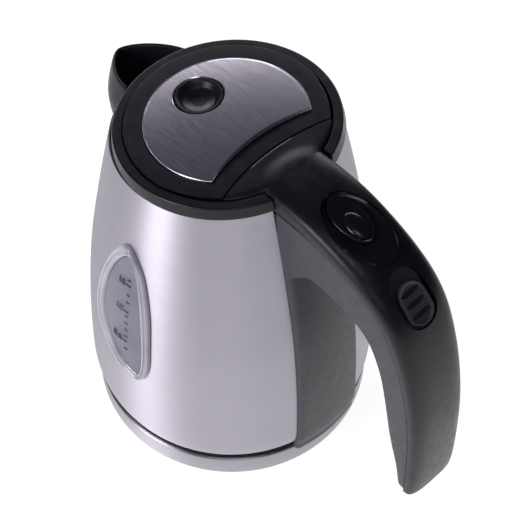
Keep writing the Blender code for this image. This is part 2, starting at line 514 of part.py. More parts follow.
cut(upper, prism("cut_switch_recess", stadium(15.0, 9.2, 8, -0.5), 10, plane="XY", lo=-3.0, where=cutters, parent=switch_frame))
cut(upper, prism("cut_switch_window", stadium(14.4, 8.6, 8, -0.5), 10, plane="XY", lo=-12, where=cutters, parent=switch_frame))
bezel = prism("switch_bezel", stadium(14.7, 8.9, 10, -0.5), -2.0, GREY, plane="XY", lo=-2.9, parent=switch_frame)
cut(bezel, prism("cut_bezel_slot", stadium(8.6, 3.4, 6, -0.5), 10, plane="XY", lo=-12, where=cutters, parent=switch_frame))
slider_empty = empty("switch_slide", (0, 0, 0), parent=switch_frame)
slider = prism("power_switch_slider", stadium(10.5, 7.3, 10, 1.5), 0.6, GREY, plane="XY", lo=-1.7, parent=slider_empty)
for i in range(3):
    cut(slider, prism(f"cut_slider_slot_{i + 1}", oval(0.85, 5.0, 16, -4.2 + 5.4 * i), 3, plane="XY", lo=-0.5, where=cutters, parent=switch_frame))
cut(slider, box("add_slider_stem", (-1.5, -2.2, -5.2), (3.6, 2.2, -1.2), where=cutters, parent=switch_frame), "UNION")
box("switch_block", (-11, -8.0, -15.0), (11, 8.0, -5.6), WHITE, bevel=0.6, parent=switch_frame)
bimetal = turned("bimetal_disc", [(0, 1.0), (4.0, 0.8), (7.0, 0.0), (7.0, -0.5), (4.0, 0.3), (0, 0.5)], BRASS, steps=20, parent=switch_frame,
                 location=(-15.2, 0, -12.0), rotation=(0, math.pi / 2, 0))

# latch under the cap, moved by the button
latch = box("lid_latch", (37.5, -5, -7.6), (61.0, 5, -6.2), GREY, parent=top)

# lower shell: hollow arm open to the seam, and the strip down the jug
arm_outline = [(s.x - seam_normal(i).x * 0.15, s.y - seam_normal(i).y * 0.15) for i, s in enumerate(seam)] + list(GRIP) + [(64.0, 160), (50, 160), (44, 200)]
lower = prism("handle_lower_shell", arm_outline, HANDLE_W, GREY)
for v in lower.data.vertices:
    v.co.y *= half_at(v.co.z / MM) / HANDLE_W
cavity_outline = [(60, 230), (58, 186), (72, 183.2), (80, 183.2), (88, 182.8), (98.6, 180.8), (107.6, 176.4), (114.8, 167.6), (119.6, 156.2), (122.9, 144.5),
                  (125.4, 132.8), (127.8, 120.4), (130.4, 108.2), (133.4, 96.8), (136.2, 88), (155, 88), (155, 180), (130, 225)]
arm_cavity = prism("cut_arm_cavity", cavity_outline, HANDLE_W - 2.2, where=cutters)
for v in arm_cavity.data.vertices:
    v.co.y *= (half_at(v.co.z / MM) - 2.2) / (HANDLE_W - 2.2)
cut(lower, arm_cavity)
strip = jug_solid("add_strip_outer", 3.0, 16.8, 214, steps=64)
wedge = prism("cut_strip_wedge", [(40, -19.0), (90, -20.6), (90, 20.6), (40, 19.0)], 222, plane="XY", lo=10, where=cutters)
cut(strip, wedge, "INTERSECT")
cut(strip, jug_solid("cut_strip_inner", -4.0, 10, 218), "DIFFERENCE")
cut(lower, strip, "UNION")
cut(lower, body_env)
cut(lower, turned("cut_foot_for_strip", [(0, 24), (74.6, 24), (74.6, 10), (0, 10)], where=cutters, steps=36))
cut(lower, above_seam)
cut(lower, collar_env)
# channel for the wires behind the strip
channel = jug_solid("cut_wire_channel", 1.8, 18.6, 200, steps=36)
cut(channel, box("cut_channel_box", (40, -7.5, 10), (90, 7.5, 220), where=cutters), "INTERSECT")
cut(lower, channel)
wires = [(z, 1.05) for z in (22.4, 25, 30, 40, 55, 75, 100, 125, 150, 175, 192)]
rings = []
for z, out in wires:
    r = jug_radius(z) + out
    rings.append([(math.sqrt((r - 0.4) ** 2 - 36), -6, z), (r - 0.4, 0, z), (math.sqrt((r - 0.4) ** 2 - 36), 6, z),
                  (math.sqrt((r + 0.4) ** 2 - 36), 6, z), (r + 0.4, 0, z), (math.sqrt((r + 0.4) ** 2 - 36), -6, z)])
loft("internal_wires", rings, ((0.6, 0.1, 0.08), 0.6))
# screws that hold the two halves of the handle together, reached from the finger side
for i, (x, z, lean) in enumerate([(92, 180.6, 0.1), (126.2, 119, 1.30)]):
    direction = Vector((math.sin(lean), 0, math.cos(lean)))
    hole = cylinder(f"cut_handle_screw_{i + 1}", 2.9, -3, 1.4, where=cutters, steps=14, location=(x, 0, z), rotation=(0, lean, 0))
    shaft = cylinder(f"cut_handle_shaft_{i + 1}", 1.6, -3, 16, where=cutters, steps=12, location=(x, 0, z), rotation=(0, lean, 0))
    cut(cut(lower, hole), shaft)
    turned(f"handle_screw_{i + 1}", [(0, 11.0), (1.2, 10.6), (1.2, 1.1), (2.5, 1.1), (2.5, 0.4), (2.1, 0.2), (0, 0.2)],
           ((0.55, 0.55, 0.57), 0.35, 1.0), steps=12, location=(x, 0, z), rotation=(0, lean, 0))

bpy.context.view_layer.update()
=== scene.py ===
"""Looks of the cordless jug kettle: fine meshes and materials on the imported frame. Millimetres inside, metres out."""
import math

import bmesh
import bpy
import numpy as np
from mathutils import Matrix, Vector


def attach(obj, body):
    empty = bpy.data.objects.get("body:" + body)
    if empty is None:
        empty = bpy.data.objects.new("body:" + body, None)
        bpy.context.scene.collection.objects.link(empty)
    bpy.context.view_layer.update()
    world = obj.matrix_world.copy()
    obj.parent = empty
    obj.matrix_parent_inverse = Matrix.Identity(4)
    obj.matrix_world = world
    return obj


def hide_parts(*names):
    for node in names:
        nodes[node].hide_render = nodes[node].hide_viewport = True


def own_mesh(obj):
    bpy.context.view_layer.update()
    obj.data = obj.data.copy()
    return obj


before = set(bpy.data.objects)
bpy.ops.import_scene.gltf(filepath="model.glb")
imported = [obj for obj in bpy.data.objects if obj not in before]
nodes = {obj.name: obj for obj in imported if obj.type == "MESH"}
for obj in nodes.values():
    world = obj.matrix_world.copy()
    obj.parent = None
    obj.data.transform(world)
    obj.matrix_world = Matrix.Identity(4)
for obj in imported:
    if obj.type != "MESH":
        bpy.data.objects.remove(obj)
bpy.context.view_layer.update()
scene = bpy.context.scene
MM = 0.001

# ---------------------------------------------------------------- shape data, mm, as in the CAD
BASE_R = 75.2
JUG = [(22.0, 74.6), (25.0, 75.6), (30.0, 76.4), (40.0, 76.4), (55.0, 75.8), (75.0, 74.6),
       (100.0, 72.4), (125.0, 69.4), (150.0, 65.2), (175.0, 60.6), (200.0, 55.5), (218.0, 51.6)]
TILT = math.radians(6.43)
SEAM = [(44, 210.6), (60, 212.2), (73, 212.0), (86, 209.8), (98, 206.3), (108.9, 200.8), (116.7, 194.1),
        (121.9, 186.8), (126.7, 176.8), (131.2, 164.7), (135.1, 151), (138.3, 136.3), (140.6, 120), (142, 104.4),
        (143, 89), (143.5, 75), (143, 62)]
GRIP = [(55.5, 160), (66.8, 173.2), (73, 179.4), (83, 180.3), (91, 179.7), (98, 178), (104, 175.4), (109.5, 170.5), (114, 162.5), (118, 152),
        (121, 139.7), (124.3, 124), (127.3, 109), (130.6, 96), (134.3, 83.7), (137.7, 73), (139.9, 66)]
WINDOW = [(1, 173), (9.5, 164), (14, 150), (16.6, 132), (17.2, 112), (16.6, 92), (13, 80.5), (8, 78.5),
          (0.5, 80.5), (-9.5, 89), (-17, 100), (-19.5, 114), (-18, 134), (-14, 151), (-7, 167)]
PANE = [(1.4, 167.5), (4.7, 165.7), (7.4, 157.4), (9.6, 144.7), (11.4, 127.4), (12.4, 112), (12.5, 95), (11.5, 86), (10.3, 83.8),
        (7.4, 84.5), (2.3, 86.5), (-2.5, 91.2), (-6.9, 97.9), (-11.4, 106.6), (-13.7, 116.4), (-13.5, 127.6), (-11.4, 141.2),
        (-7.6, 153.3), (-3, 162.3)]
DROP = 1.1
DISH_X = -19.4


def frame_of(x, z, lean):
    c, s = math.cos(lean), math.sin(lean)
    return Matrix(((c, 0, s, x), (0, 1, 0, 0), (-s, 0, c, z), (0, 0, 0, 1)))


TOP = frame_of(0, 213.4, -TILT)
BUTTON = frame_of(79.7, 219.2, math.radians(9.2))
SWITCH = frame_of(119.5, 200.5, math.radians(41.6))


# ---------------------------------------------------------------- mesh helpers
def natural(xs, ys):
    """The natural cubic spline through the points, as a function."""
    xs, ys = np.array(xs, float), np.array(ys, float)
    n, h = len(xs), np.diff(xs)
    a, b = np.eye(n), np.zeros(n)
    for i in range(1, n - 1):
        a[i, i - 1:i + 2] = h[i - 1], 2 * (h[i - 1] + h[i]), h[i]
        b[i] = 6 * ((ys[i + 1] - ys[i]) / h[i] - (ys[i] - ys[i - 1]) / h[i - 1])
    m = np.linalg.solve(a, b)

    def value(x):
        i = int(np.clip(np.searchsorted(xs, x) - 1, 0, n - 2))
        u, v = xs[i + 1] - x, x - xs[i]
        return (m[i] * u ** 3 + m[i + 1] * v ** 3) / (6 * h[i]) + (ys[i] / h[i] - m[i] * h[i] / 6) * u + (ys[i + 1] / h[i] - m[i + 1] * h[i] / 6) * v
    return value


def smooth(t):
    t = min(1.0, max(0.0, t))
    return t * t * (3 - 2 * t)


def lerp(a, b, t):
    return a + (b - a) * t


def path(points):
    """A smooth path through (x, z) points: (length, function giving point and unit tangent at a distance)."""
    run = np.concatenate([[0], np.cumsum(np.hypot(*np.diff(np.array(points, float), axis=0).T))])
    fx, fz = natural(run, [p[0] for p in points]), natural(run, [p[1] for p in points])

    def at(s):
        p = Vector((fx(s), fz(s)))
        t = Vector((fx(s + 0.05) - fx(s - 0.05), fz(s + 0.05) - fz(s - 0.05))).normalized()
        return p, t
    return run, at


jug_spline = natural([p[0] for p in JUG], [p[1] for p in JUG])


def jug_radius(z):
    return jug_spline(z) if z >= 22 else 74.6


def add(name, verts, faces, place=None):
    mesh = bpy.data.meshes.new(name)
    points = [Vector(v) for v in verts]
    if place is not None:
        points = [place @ p for p in points]
    mesh.from_pydata([p * MM for p in points], [], faces)
    bm = bmesh.new()
    bm.from_mesh(mesh)
    bmesh.ops.remove_doubles(bm, verts=bm.verts, dist=3e-6)
    bmesh.ops.dissolve_degenerate(bm, edges=bm.edges, dist=1e-7)
    loose = [e for e in bm.edges if not e.link_faces]
    bmesh.ops.delete(bm, geom=loose, context="EDGES")
    bmesh.ops.delete(bm, geom=[v for v in bm.verts if not v.link_faces], context="VERTS")
    bmesh.ops.recalc_face_normals(bm, faces=bm.faces)
    bm.to_mesh(mesh)
    bm.free()
    obj = bpy.data.objects.new(name, mesh)
    scene.collection.objects.link(obj)
    return obj


def skin(rows, ring=True, loop=False, caps=True):
    verts = [p for row in rows for p in row]
    n, m = len(rows[0]), len(rows)
    faces = []
    for j in range(m if loop else m - 1):
        a, b = j * n, ((j + 1) % m) * n
        for i in range(n if ring else n - 1):
            k = (i + 1) % n
            faces.append((a + i, a + k, b + k, b + i))
    if caps and ring and not loop:
        faces.append(tuple(range(n))[::-1])
        faces.append(tuple(range((m - 1) * n, m * n)))
    return verts, faces


def soft(points, radius=0.4, count=4):
    """The outline with each corner rounded; a third number in a point is its own radius."""
    out = []
    n = len(points)
    for i, q in enumerate(points):
        rad = q[2] if len(q) > 2 else radius
        p, a, b = Vector(q[:2]), Vector(points[i - 1][:2]), Vector(points[(i + 1) % n][:2])
        u, v = a - p, b - p
        lu, lv = u.length, v.length
        if rad <= 0 or p.x == 0 or lu < 1e-6 or lv < 1e-6:
            out.append((p.x, p.y))
            continue
        u.normalize()
        v.normalize()
        angle = math.acos(max(-1.0, min(1.0, u.dot(v))))
        if angle > math.radians(172) or angle < math.radians(2):
            out.append((p.x, p.y))
            continue
        t = min(rad / math.tan(angle / 2), lu * 0.48, lv * 0.48)
        r = t * math.tan(angle / 2)
        c = p + (u + v).normalized() * (r / math.sin(angle / 2))
        s, e = p + u * t - c, p + v * t - c
        a0 = math.atan2(s.y, s.x)
        d = (math.atan2(e.y, e.x) - a0 + math.pi) % (2 * math.pi) - math.pi
        out += [(c.x + r * math.cos(a0 + d * k / count), c.y + r * math.sin(a0 + d * k / count)) for k in range(count + 1)]
    return out


def turned(name, profile, steps=160, place=None):
    rows = [[(r * math.cos(2 * math.pi * i / steps), r * math.sin(2 * math.pi * i / steps), z) for i in range(steps)] for r, z in profile]
    return add(name, *skin(rows, loop=True), place)


def prism(name, outline, lo, hi, place=None, plane="XY", edge=0.0):
    """A flat outline given a thickness, with a small bevel at its edges."""
    if plane == "XZ":
        rows = [[(x, y, z) for x, z in outline] for y in (lo, hi)]
    elif edge:
        cx = sum(p[0] for p in outline) / len(outline)
        cy = sum(p[1] for p in outline) / len(outline)
        span = max(math.hypot(p[0] - cx, p[1] - cy) for p in outline)
        k = 1 - edge / span
        small = [(cx + (x - cx) * k, cy + (y - cy) * (1 - edge / max(abs(q[1] - cy) for q in outline))) for x, y in outline]
        rows = [[(x, y, lo) for x, y in small], [(x, y, lo + edge) for x, y in outline],
                [(x, y, hi - edge) for x, y in outline], [(x, y, hi) for x, y in small]]
    else:
        rows = [[(x, y, z) for x, y in outline] for z in (lo, hi)]
    return add(name, *skin(rows), place)


def block(name, lo, hi, place=None):
    outline = [(lo[0], lo[1]), (hi[0], lo[1]), (hi[0], hi[1]), (lo[0], hi[1])]
    return prism(name, outline, lo[2], hi[2], place)


def carve(obj, cutter, operation="DIFFERENCE", keep=False):
    mod = obj.modifiers.new("cut", "BOOLEAN")
    mod.operation, mod.solver, mod.object = operation, "EXACT", cutter
    bpy.context.view_layer.update()
    mesh = bpy.data.meshes.new_from_object(obj.evaluated_get(bpy.context.evaluated_depsgraph_get()))
    old = obj.data
    obj.modifiers.clear()
    obj.data = mesh
    bpy.data.meshes.remove(old)
    mesh.name = obj.name
    if not keep:
        gone = cutter.data
        bpy.data.objects.remove(cutter)
        bpy.data.meshes.remove(gone)
    return obj


def oval(a, b, count=64, x=0.0, y=0.0):
    return [(x + a * math.cos(2 * math.pi * i / count), y + b * math.sin(2 * math.pi * i / count)) for i in range(count)]


def stadium(half_length, half_width, count=24, x=0.0):
    flat = half_length - half_width
    pts = [(x + flat + half_width * math.cos(a), half_width * math.sin(a)) for a in np.linspace(-math.pi / 2, math.pi / 2, count)]
    return pts + [(x - flat + half_width * math.cos(a), half_width * math.sin(a)) for a in np.linspace(math.pi / 2, 3 * math.pi / 2, count)]


def done(obj, look, body, replaced=(), angle=34, flat=False):
    mesh = obj.data
    if flat:
        weighted = obj.modifiers.new("flat_faces", "WEIGHTED_NORMAL")
        weighted.keep_sharp = True
    mesh.materials.clear()
    mesh.materials.append(look)
    mesh.polygons.foreach_set("use_smooth", [True] * len(mesh.polygons))
    mesh.polygons.foreach_set("material_index", [0] * len(mesh.polygons))
    mesh.set_sharp_from_angle(angle=math.radians(angle))
    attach(obj, body)
    if replaced:
        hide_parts(*([replaced] if isinstance(replaced, str) else replaced))
    return obj


# ---------------------------------------------------------------- materials
class Mat:
    def __init__(self, name):
        self.mat = bpy.data.materials.new(name)
        self.mat.use_nodes = True
        self.nodes, self.links = self.mat.node_tree.nodes, self.mat.node_tree.links
        self.shader = self.nodes["Principled BSDF"]
        self.coord = self.nodes.new("ShaderNodeTexCoord").outputs["Object"]

    def set(self, **values):
        for key, value in values.items():
            self.shader.inputs[key.replace("_", " ")].default_value = value
        return self

    def noise(self, scale, detail=3.0, rough=0.55, stretch=None, coord=None):
        coord = coord or self.coord
        if stretch:
            mapping = self.nodes.new("ShaderNodeMapping")
            mapping.inputs["Scale"].default_value = stretch
            self.links.new(coord, mapping.inputs["Vector"])
            coord = mapping.outputs["Vector"]
        tex = self.nodes.new("ShaderNodeTexNoise")
        tex.inputs["Scale"].default_value = scale
        tex.inputs["Detail"].default_value = detail
        tex.inputs["Roughness"].default_value = rough
        self.links.new(coord, tex.inputs["Vector"])
        return tex.outputs["Fac"]

    def ramp(self, fac, stops):
        node = self.nodes.new("ShaderNodeValToRGB")
        while len(node.color_ramp.elements) < len(stops):
            node.color_ramp.elements.new(0.5)
        for element, (place, colour) in zip(node.color_ramp.elements, stops):
            element.position = place
            element.color = (*colour, 1) if not isinstance(colour, float) else (colour, colour, colour, 1)
        self.links.new(fac, node.inputs["Fac"])
        return node.outputs["Color"]

    def range(self, fac, lo, hi, f0=0.3, f1=0.7):
        node = self.nodes.new("ShaderNodeMapRange")
        node.inputs["From Min"].default_value = f0
        node.inputs["From Max"].default_value = f1
        node.inputs["To Min"].default_value = lo
        node.inputs["To Max"].default_value = hi
        self.links.new(fac, node.inputs["Value"])
        return node.outputs["Result"]

    def bump(self, height, strength, distance):
        node = self.nodes.new("ShaderNodeBump")
        node.inputs["Strength"].default_value = strength
        node.inputs["Distance"].default_value = distance
        self.links.new(height, node.inputs["Height"])
        self.links.new(node.outputs["Normal"], self.shader.inputs["Normal"])
        return self

    def link(self, output, socket):
        self.links.new(output, self.shader.inputs[socket])
        return self


def scaled(colour, k):
    return tuple(c * k for c in colour)


def plastic(name, colour, rough, grain=0.06, grain_scale=2600, spread=0.12, rough_spread=0.05, **more):
    """Moulded plastic: slow colour and gloss variation, and a fine spark-eroded grain."""
    m = Mat(name).set(**more)
    slow = m.noise(70, 2.0)
    m.link(m.ramp(slow, [(0.3, scaled(colour, 1 - spread)), (0.7, scaled(colour, 1 + spread))]), "Base Color")
    fine = m.noise(grain_scale, 2.0, 0.6)
    m.link(m.range(m.noise(240, 3.0), rough - rough_spread, rough + rough_spread), "Roughness")
    if grain:
        m.bump(fine, grain, 0.0002)
    return m.mat


def metal(name, colour, rough, stretch, scale=1.0, spread=0.05, aniso=0.0, rotation=0.25, vary=0.04, grain=0.02, **more):
    """Brushed or drawn metal: fine lines along one direction in colour, gloss and relief."""
    m = Mat(name).set(Metallic=1.0, Anisotropic=aniso, Anisotropic_Rotation=rotation, **more)
    lines = m.noise(scale, 4.0, 0.65, stretch)
    m.link(m.ramp(lines, [(0.36, scaled(colour, 1 - spread)), (0.64, scaled(colour, 1 + spread))]), "Base Color")
    broad = m.noise(18, 2.0)
    mix = m.nodes.new("ShaderNodeMath")
    mix.operation = "MULTIPLY_ADD"
    mix.inputs[1].default_value = 0.4
    m.links.new(broad, mix.inputs[0])
    m.links.new(lines, mix.inputs[2])
    m.link(m.range(mix.outputs["Value"], rough - vary, rough + vary, 0.45, 0.95), "Roughness")
    if aniso:
        tangent = m.nodes.new("ShaderNodeTangent")
        tangent.direction_type = "RADIAL"
        tangent.axis = "Z"
        m.links.new(tangent.outputs["Tangent"], m.shader.inputs["Tangent"])
    if grain:
        m.bump(lines, grain, 0.0001)
    return m.mat


STEEL_BODY = metal("steel_body", (0.56, 0.535, 0.59), 0.44, (14, 14, 1500), spread=0.035, aniso=0.9, grain=0.03)
STEEL_BASE = metal("steel_base", (0.52, 0.50, 0.54), 0.42, (14, 14, 1500), spread=0.035, aniso=0.9, grain=0.03)
STEEL_LID = metal("steel_lid", (0.56, 0.545, 0.58), 0.27, (60, 1300, 60), spread=0.16, vary=0.001, grain=0.0)
# The rim steel is lightened well above the inlay's steel: a painted highlight for the bright edge line round the lid
# inlay.
RIM_STEEL_PAINTED_HIGHLIGHT = metal("steel_rim_painted_highlight", (0.86, 0.84, 0.88), 0.34, (300, 300, 300), spread=0.05, grain=0.02)
STEEL_BARE = metal("steel_bare", (0.58, 0.57, 0.58), 0.26, (60, 60, 900), spread=0.05, grain=0.03)
PLATE = metal("steel_plate", (0.56, 0.55, 0.56), 0.22, (200, 200, 200), spread=0.06, grain=0.02)
WIRE = metal("spring_wire", (0.62, 0.61, 0.60), 0.3, (900, 900, 900), spread=0.06, grain=0.02)
BRASS = metal("brass", (0.80, 0.58, 0.28), 0.3, (300, 300, 900), spread=0.06, grain=0.02)
BLACK = plastic("black_satin", (0.0062, 0.0058, 0.0092), 0.35, grain=0.09, IOR=1.37)
COLLAR = plastic("black_collar", (0.0060, 0.0056, 0.0088), 0.33, grain=0.09, IOR=1.4)
GREY = plastic("grey_matt", (0.029, 0.027, 0.037), 0.48, grain=0.12)
GLOSS = plastic("black_gloss", (0.0055, 0.0052, 0.0078), 0.22, grain=0.0, rough_spread=0.03, IOR=1.42)
RINGBLACK = plastic("black_ring", (0.0040, 0.0038, 0.0050), 0.5, grain=0.06, IOR=1.2)
DISHBLACK = plastic("black_dish", (0.0075, 0.0070, 0.0100), 0.36, grain=0.04, IOR=1.42)
# The spout's own black plastic, lifted about three times above the other blacks, with its real reflection turned down
# by a low IOR: the extra lightness is a painted reflection standing in for the grey sheen in the trough.
SPOUT_BLACK_PAINTED_REFLECTION = plastic("black_spout_painted_reflection", (0.0170, 0.0160, 0.0215), 0.28, grain=0.02, rough_spread=0.04, IOR=1.13)
SWITCHGREY = plastic("grey_slider", (0.036, 0.034, 0.044), 0.42, grain=0.1)
IVORY = plastic("ivory_plastic", (0.62, 0.59, 0.52), 0.42, grain=0.06)
RUBBER = plastic("rubber", (0.030, 0.030, 0.032), 0.75, grain=0.25)
SILICONE = plastic("silicone", (0.55, 0.54, 0.53), 0.55, grain=0.08, Subsurface_Weight=0.05)
INNERLID = plastic("grey_translucent", (0.30, 0.30, 0.32), 0.4, grain=0.05)
BACKPLATE = plastic("gauge_back", (0.12, 0.12, 0.17), 0.35, grain=0.05, spread=0.2)
BEZEL = plastic("gauge_bezel", (0.36, 0.345, 0.39), 0.16, grain=0.0, rough_spread=0.04, Coat_Weight=0.6, Coat_Roughness=0.05)
CLEAR = plastic("clear_pane", (0.30, 0.30, 0.37), 0.09, grain=0.0, rough_spread=0.03, Alpha=0.42)
INK = plastic("gauge_ink", (0.055, 0.055, 0.065), 0.5, grain=0.05)
INSULATION = plastic("wire_sleeves", (0.45, 0.05, 0.03), 0.5, grain=0.05)
PALE = plastic("pale_mark", (0.35, 0.35, 0.37), 0.5, grain=0.04)

# ---------------------------------------------------------------- power base
jacket = turned("base_jacket", soft([(74.3, 1.3), (74.3, 15.4, 0.1), (72.4, 15.4, 0.1), (72.4, 16.2, 0.2), (BASE_R, 16.2, 0.9), (BASE_R, 1.3, 0.5)], 0.2), 192)
carve(jacket, turned("c", [(0, -80), (4.35, -80), (4.35, -66), (0, -66)], 48, Matrix.Translation((0, 0, 8.6)) @ Matrix.Rotation(math.radians(-90), 4, "Y") @ Matrix.Rotation(math.pi, 4, "X")))
done(jacket, STEEL_BASE, "power_base", "base_steel_jacket")
deck = turned("base_deck", soft([(15.5, 12.2), (15.5, 14), (22, 14), (22.6, 14.6), (26, 14.6), (26.6, 14), (44, 14), (44.5, 13.5), (46.5, 13.5), (47, 14),
                                 (60, 14), (68, 15.1), (73.9, 15.1), (73.9, 3.8), (72.1, 3.8), (72.1, 13.0), (68.4, 13.0), (60, 12.2)], 0.25, 3), 160)
for i in range(3):
    a = math.radians(90 + 120 * i)
    spot = Matrix.Translation((40 * math.cos(a), 40 * math.sin(a), 0))
    carve(deck, turned("c", [(1.6, 3.8), (3.4, 3.8), (3.4, 12.8), (1.6, 12.8)], 32, spot), "UNION")
done(deck, BLACK, "power_base", "base_housing")
under = turned("base_underside", soft([(0, 3.4), (73.9, 3.4), (73.9, 1.6), (66, 1.6), (65.6, 1.2), (58.4, 1.2), (58, 1.6), (22, 1.6), (21.5, 0.4), (0, 0.4)], 0.3, 3), 128)
for i in range(3):
    a = math.radians(90 + 120 * i)
    spot = Matrix.Translation((40 * math.cos(a), 40 * math.sin(a), 0))
    carve(under, turned("c", [(0, 1.0), (3.3, 1.0), (3.3, 2.6), (1.7, 2.6), (1.7, 4), (0, 4)], 32, spot))
for i in range(8):
    spot = Matrix.Rotation(math.radians(22.5 + 45 * i), 4, "Z")
    carve(under, prism("c", [(30 + x, y) for x, y in stadium(6, 1.1, 8)], 0.5, 2.4, spot))
done(under, GREY, "power_base", "base_bottom_plate")
for i in range(4):
    a = math.radians(45 + 90 * i)
    foot = turned(f"foot_pad_{i + 1}", soft([(0, 1.15), (5.0, 1.15), (5.0, 0.0, 0.4), (2.6, 0.0, 0.3), (2.2, 0.35, 0.2), (0, 0.35)], 0.1), 48, Matrix.Translation((62 * math.cos(a), 62 * math.sin(a), 0)))
    done(foot, RUBBER, "power_base", f"base_foot_{i + 1}")


def screw(name, profile, slot_z, place, body, node):
    obj = turned(name, soft(profile, 0.25, 3), 40, place)
    for turn in (0, 90):
        carve(obj, prism("c", [(-1.7, -0.32), (1.7, -0.32), (1.7, 0.32), (-1.7, 0.32)], slot_z - 1, slot_z + 0.9, place @ Matrix.Rotation(math.radians(turn + 20), 4, "Z")))
    return done(obj, STEEL_BARE, body, node)


for i in range(3):
    a = math.radians(90 + 120 * i)
    screw(f"base_fixing_{i + 1}", [(0, 9.5), (1.2, 9.2), (1.2, 2.3), (2.9, 2.3), (2.9, 1.8), (2.2, 1.45), (0, 1.35)], 1.3, Matrix.Translation((40 * math.cos(a), 40 * math.sin(a), 0)), "power_base", f"base_screw_{i + 1}")
tower = turned("base_tower", soft([(3.0, 24.0), (7.6, 24.0), (7.6, 12.0, 0), (11.4, 12.0, 0), (11.4, 24.0), (14.4, 24.0), (15.2, 23.2), (15.2, 4.0), (1.2, 4.0), (1.2, 11.0), (3.0, 11.0)], 0.35, 3), 96)
done(tower, IVORY, "power_base", "base_connector_tower")
done(turned("base_contact_centre", soft([(2.1, 23.0), (2.7, 23.0), (2.7, 11.4), (2.1, 11.4)], 0.15), 48), BRASS, "power_base", "base_centre_contact")
done(turned("base_contact_ring", soft([(7.9, 22.0), (8.4, 22.0), (8.4, 12.3), (7.9, 12.3)], 0.15), 96), BRASS, "power_base", "base_ring_contact")
out = Matrix.Translation((-70.6, 0, 8.6)) @ Matrix.Rotation(-math.pi / 2, 4, "Y")
grommet = turned("cord_outlet_ring", soft([(3.3, 0), (3.3, 8.0), (5.8, 8.0, 0.6), (5.8, 5.4, 0.3), (4.0, 5.4), (4.0, 0)], 0.3), 56, out)
done(grommet, RUBBER, "power_base", "base_cord_grommet")
socket = turned("jug_connector", soft([(0, 30.6), (18.4, 30.6), (18.4, 26.0), (11.0, 26.0, 0), (10.6, 18.0), (9.2, 18.0), (8.8, 26.0, 0), (1.7, 26.0, 0), (1.5, 17.0), (0, 16.6)], 0.3, 3), 96)
done(socket, IVORY, "connector", "connector_socket")

# ---------------------------------------------------------------- jug
N = 224


def top_height(x, local=-6.3):
    """World height of the collar's plane, lowered in its own frame."""
    return 213.4 + (local + x * math.sin(TILT)) / math.cos(TILT)


def jug_rows(offsets):
    rows = []
    for off, fractions in offsets:
        for f in fractions:
            row = []
            for i in range(N):
                a = 2 * math.pi * i / N
                z = 21.9 + 190 * f
                for _ in range(4):
                    x = (jug_radius(z) + off) * math.cos(a)
                    z = 21.9 + (top_height(x) - 21.9) * f
                r = jug_radius(max(z, 22)) + off
                row.append((r * math.cos(a), r * math.sin(a), z))
            rows.append(row)
    return rows


steps_up = [0, 0.004, 0.008, 0.016, 0.028, 0.042] + [0.06 + 0.94 * i / 54 for i in range(55)]
jug = add("jug_shell", *skin(jug_rows([(-0.8, steps_up[::-1]), (0, steps_up)]), loop=True))


def closed_curve(points, count):
    """A smooth closed curve through the points, evenly spaced."""
    pts = [Vector(p) for p in points]
    dense = []
    for i in range(len(pts)):
        a, b, c, d = (pts[(i + k - 1) % len(pts)] for k in range(4))
        for j in range(24):
            t = j / 24
            dense.append(0.5 * (2 * b + (c - a) * t + (2 * a - 5 * b + 4 * c - d) * t * t + (3 * b - a - 3 * c + d) * t ** 3))
    run = np.concatenate([[0], np.cumsum([(dense[(i + 1) % len(dense)] - p).length for i, p in enumerate(dense)])])
    at = np.linspace(0, run[-1], count, endpoint=False)
    xs, ys = ([p[k] for p in dense] + [dense[0][k]] for k in (0, 1))
    return np.stack([np.interp(at, run, xs), np.interp(at, run, ys)], 1)


CENTRE = np.array((-1.0, 122.0))
outer = closed_curve(WINDOW, 180)
inner_dense = closed_curve(PANE, 720) - CENTRE
inner_angle = np.unwrap(np.arctan2(inner_dense[:, 1], inner_dense[:, 0]))
inner_radius = np.hypot(inner_dense[:, 0], inner_dense[:, 1])
order = np.argsort(inner_angle % (2 * math.pi))
want = np.arctan2(outer[:, 1] - CENTRE[1], outer[:, 0] - CENTRE[0]) % (2 * math.pi)
reach = np.interp(want, (inner_angle % (2 * math.pi))[order], inner_radius[order], period=2 * math.pi)
inner = CENTRE + np.stack([np.cos(want), np.sin(want)], 1) * reach[:, None]


def on_jug(s, z, out):
    a = s / 67.0 - math.pi / 2
    r = jug_radius(z) + out
    return (r * math.cos(a), r * math.sin(a), z)


def gauge_row(f, out):
    """The gauge outline: f = 0 at the frame's outer edge, 1 at the pane's edge, beyond 1 towards the middle."""
    pts = outer + (inner - outer) * min(f, 1.0)
    if f > 1:
        pts = CENTRE + (pts - CENTRE) * (2 - f)
    return [on_jug(s, z, out) for s, z in pts]


carve(jug, add("c", *skin([[on_jug(s, z, o) for s, z in outer + (inner - outer) * 0.75] for o in (-8, 8)])))
carve(jug, prism("c", [(40, -18.0), (70, -18.0), (70, 18.0), (40, 18.0)], -9.5, 5, TOP))
hole = turned("c", [(0, 40), (12.5, 40), (12.5, 90), (0, 90)], 64, Matrix.Translation((0, 0, 184)) @ Matrix.Rotation(-math.pi / 2, 4, "Y"))
carve(jug, hole)
done(jug, STEEL_BODY, "kettle_body", "body_shell", angle=30)

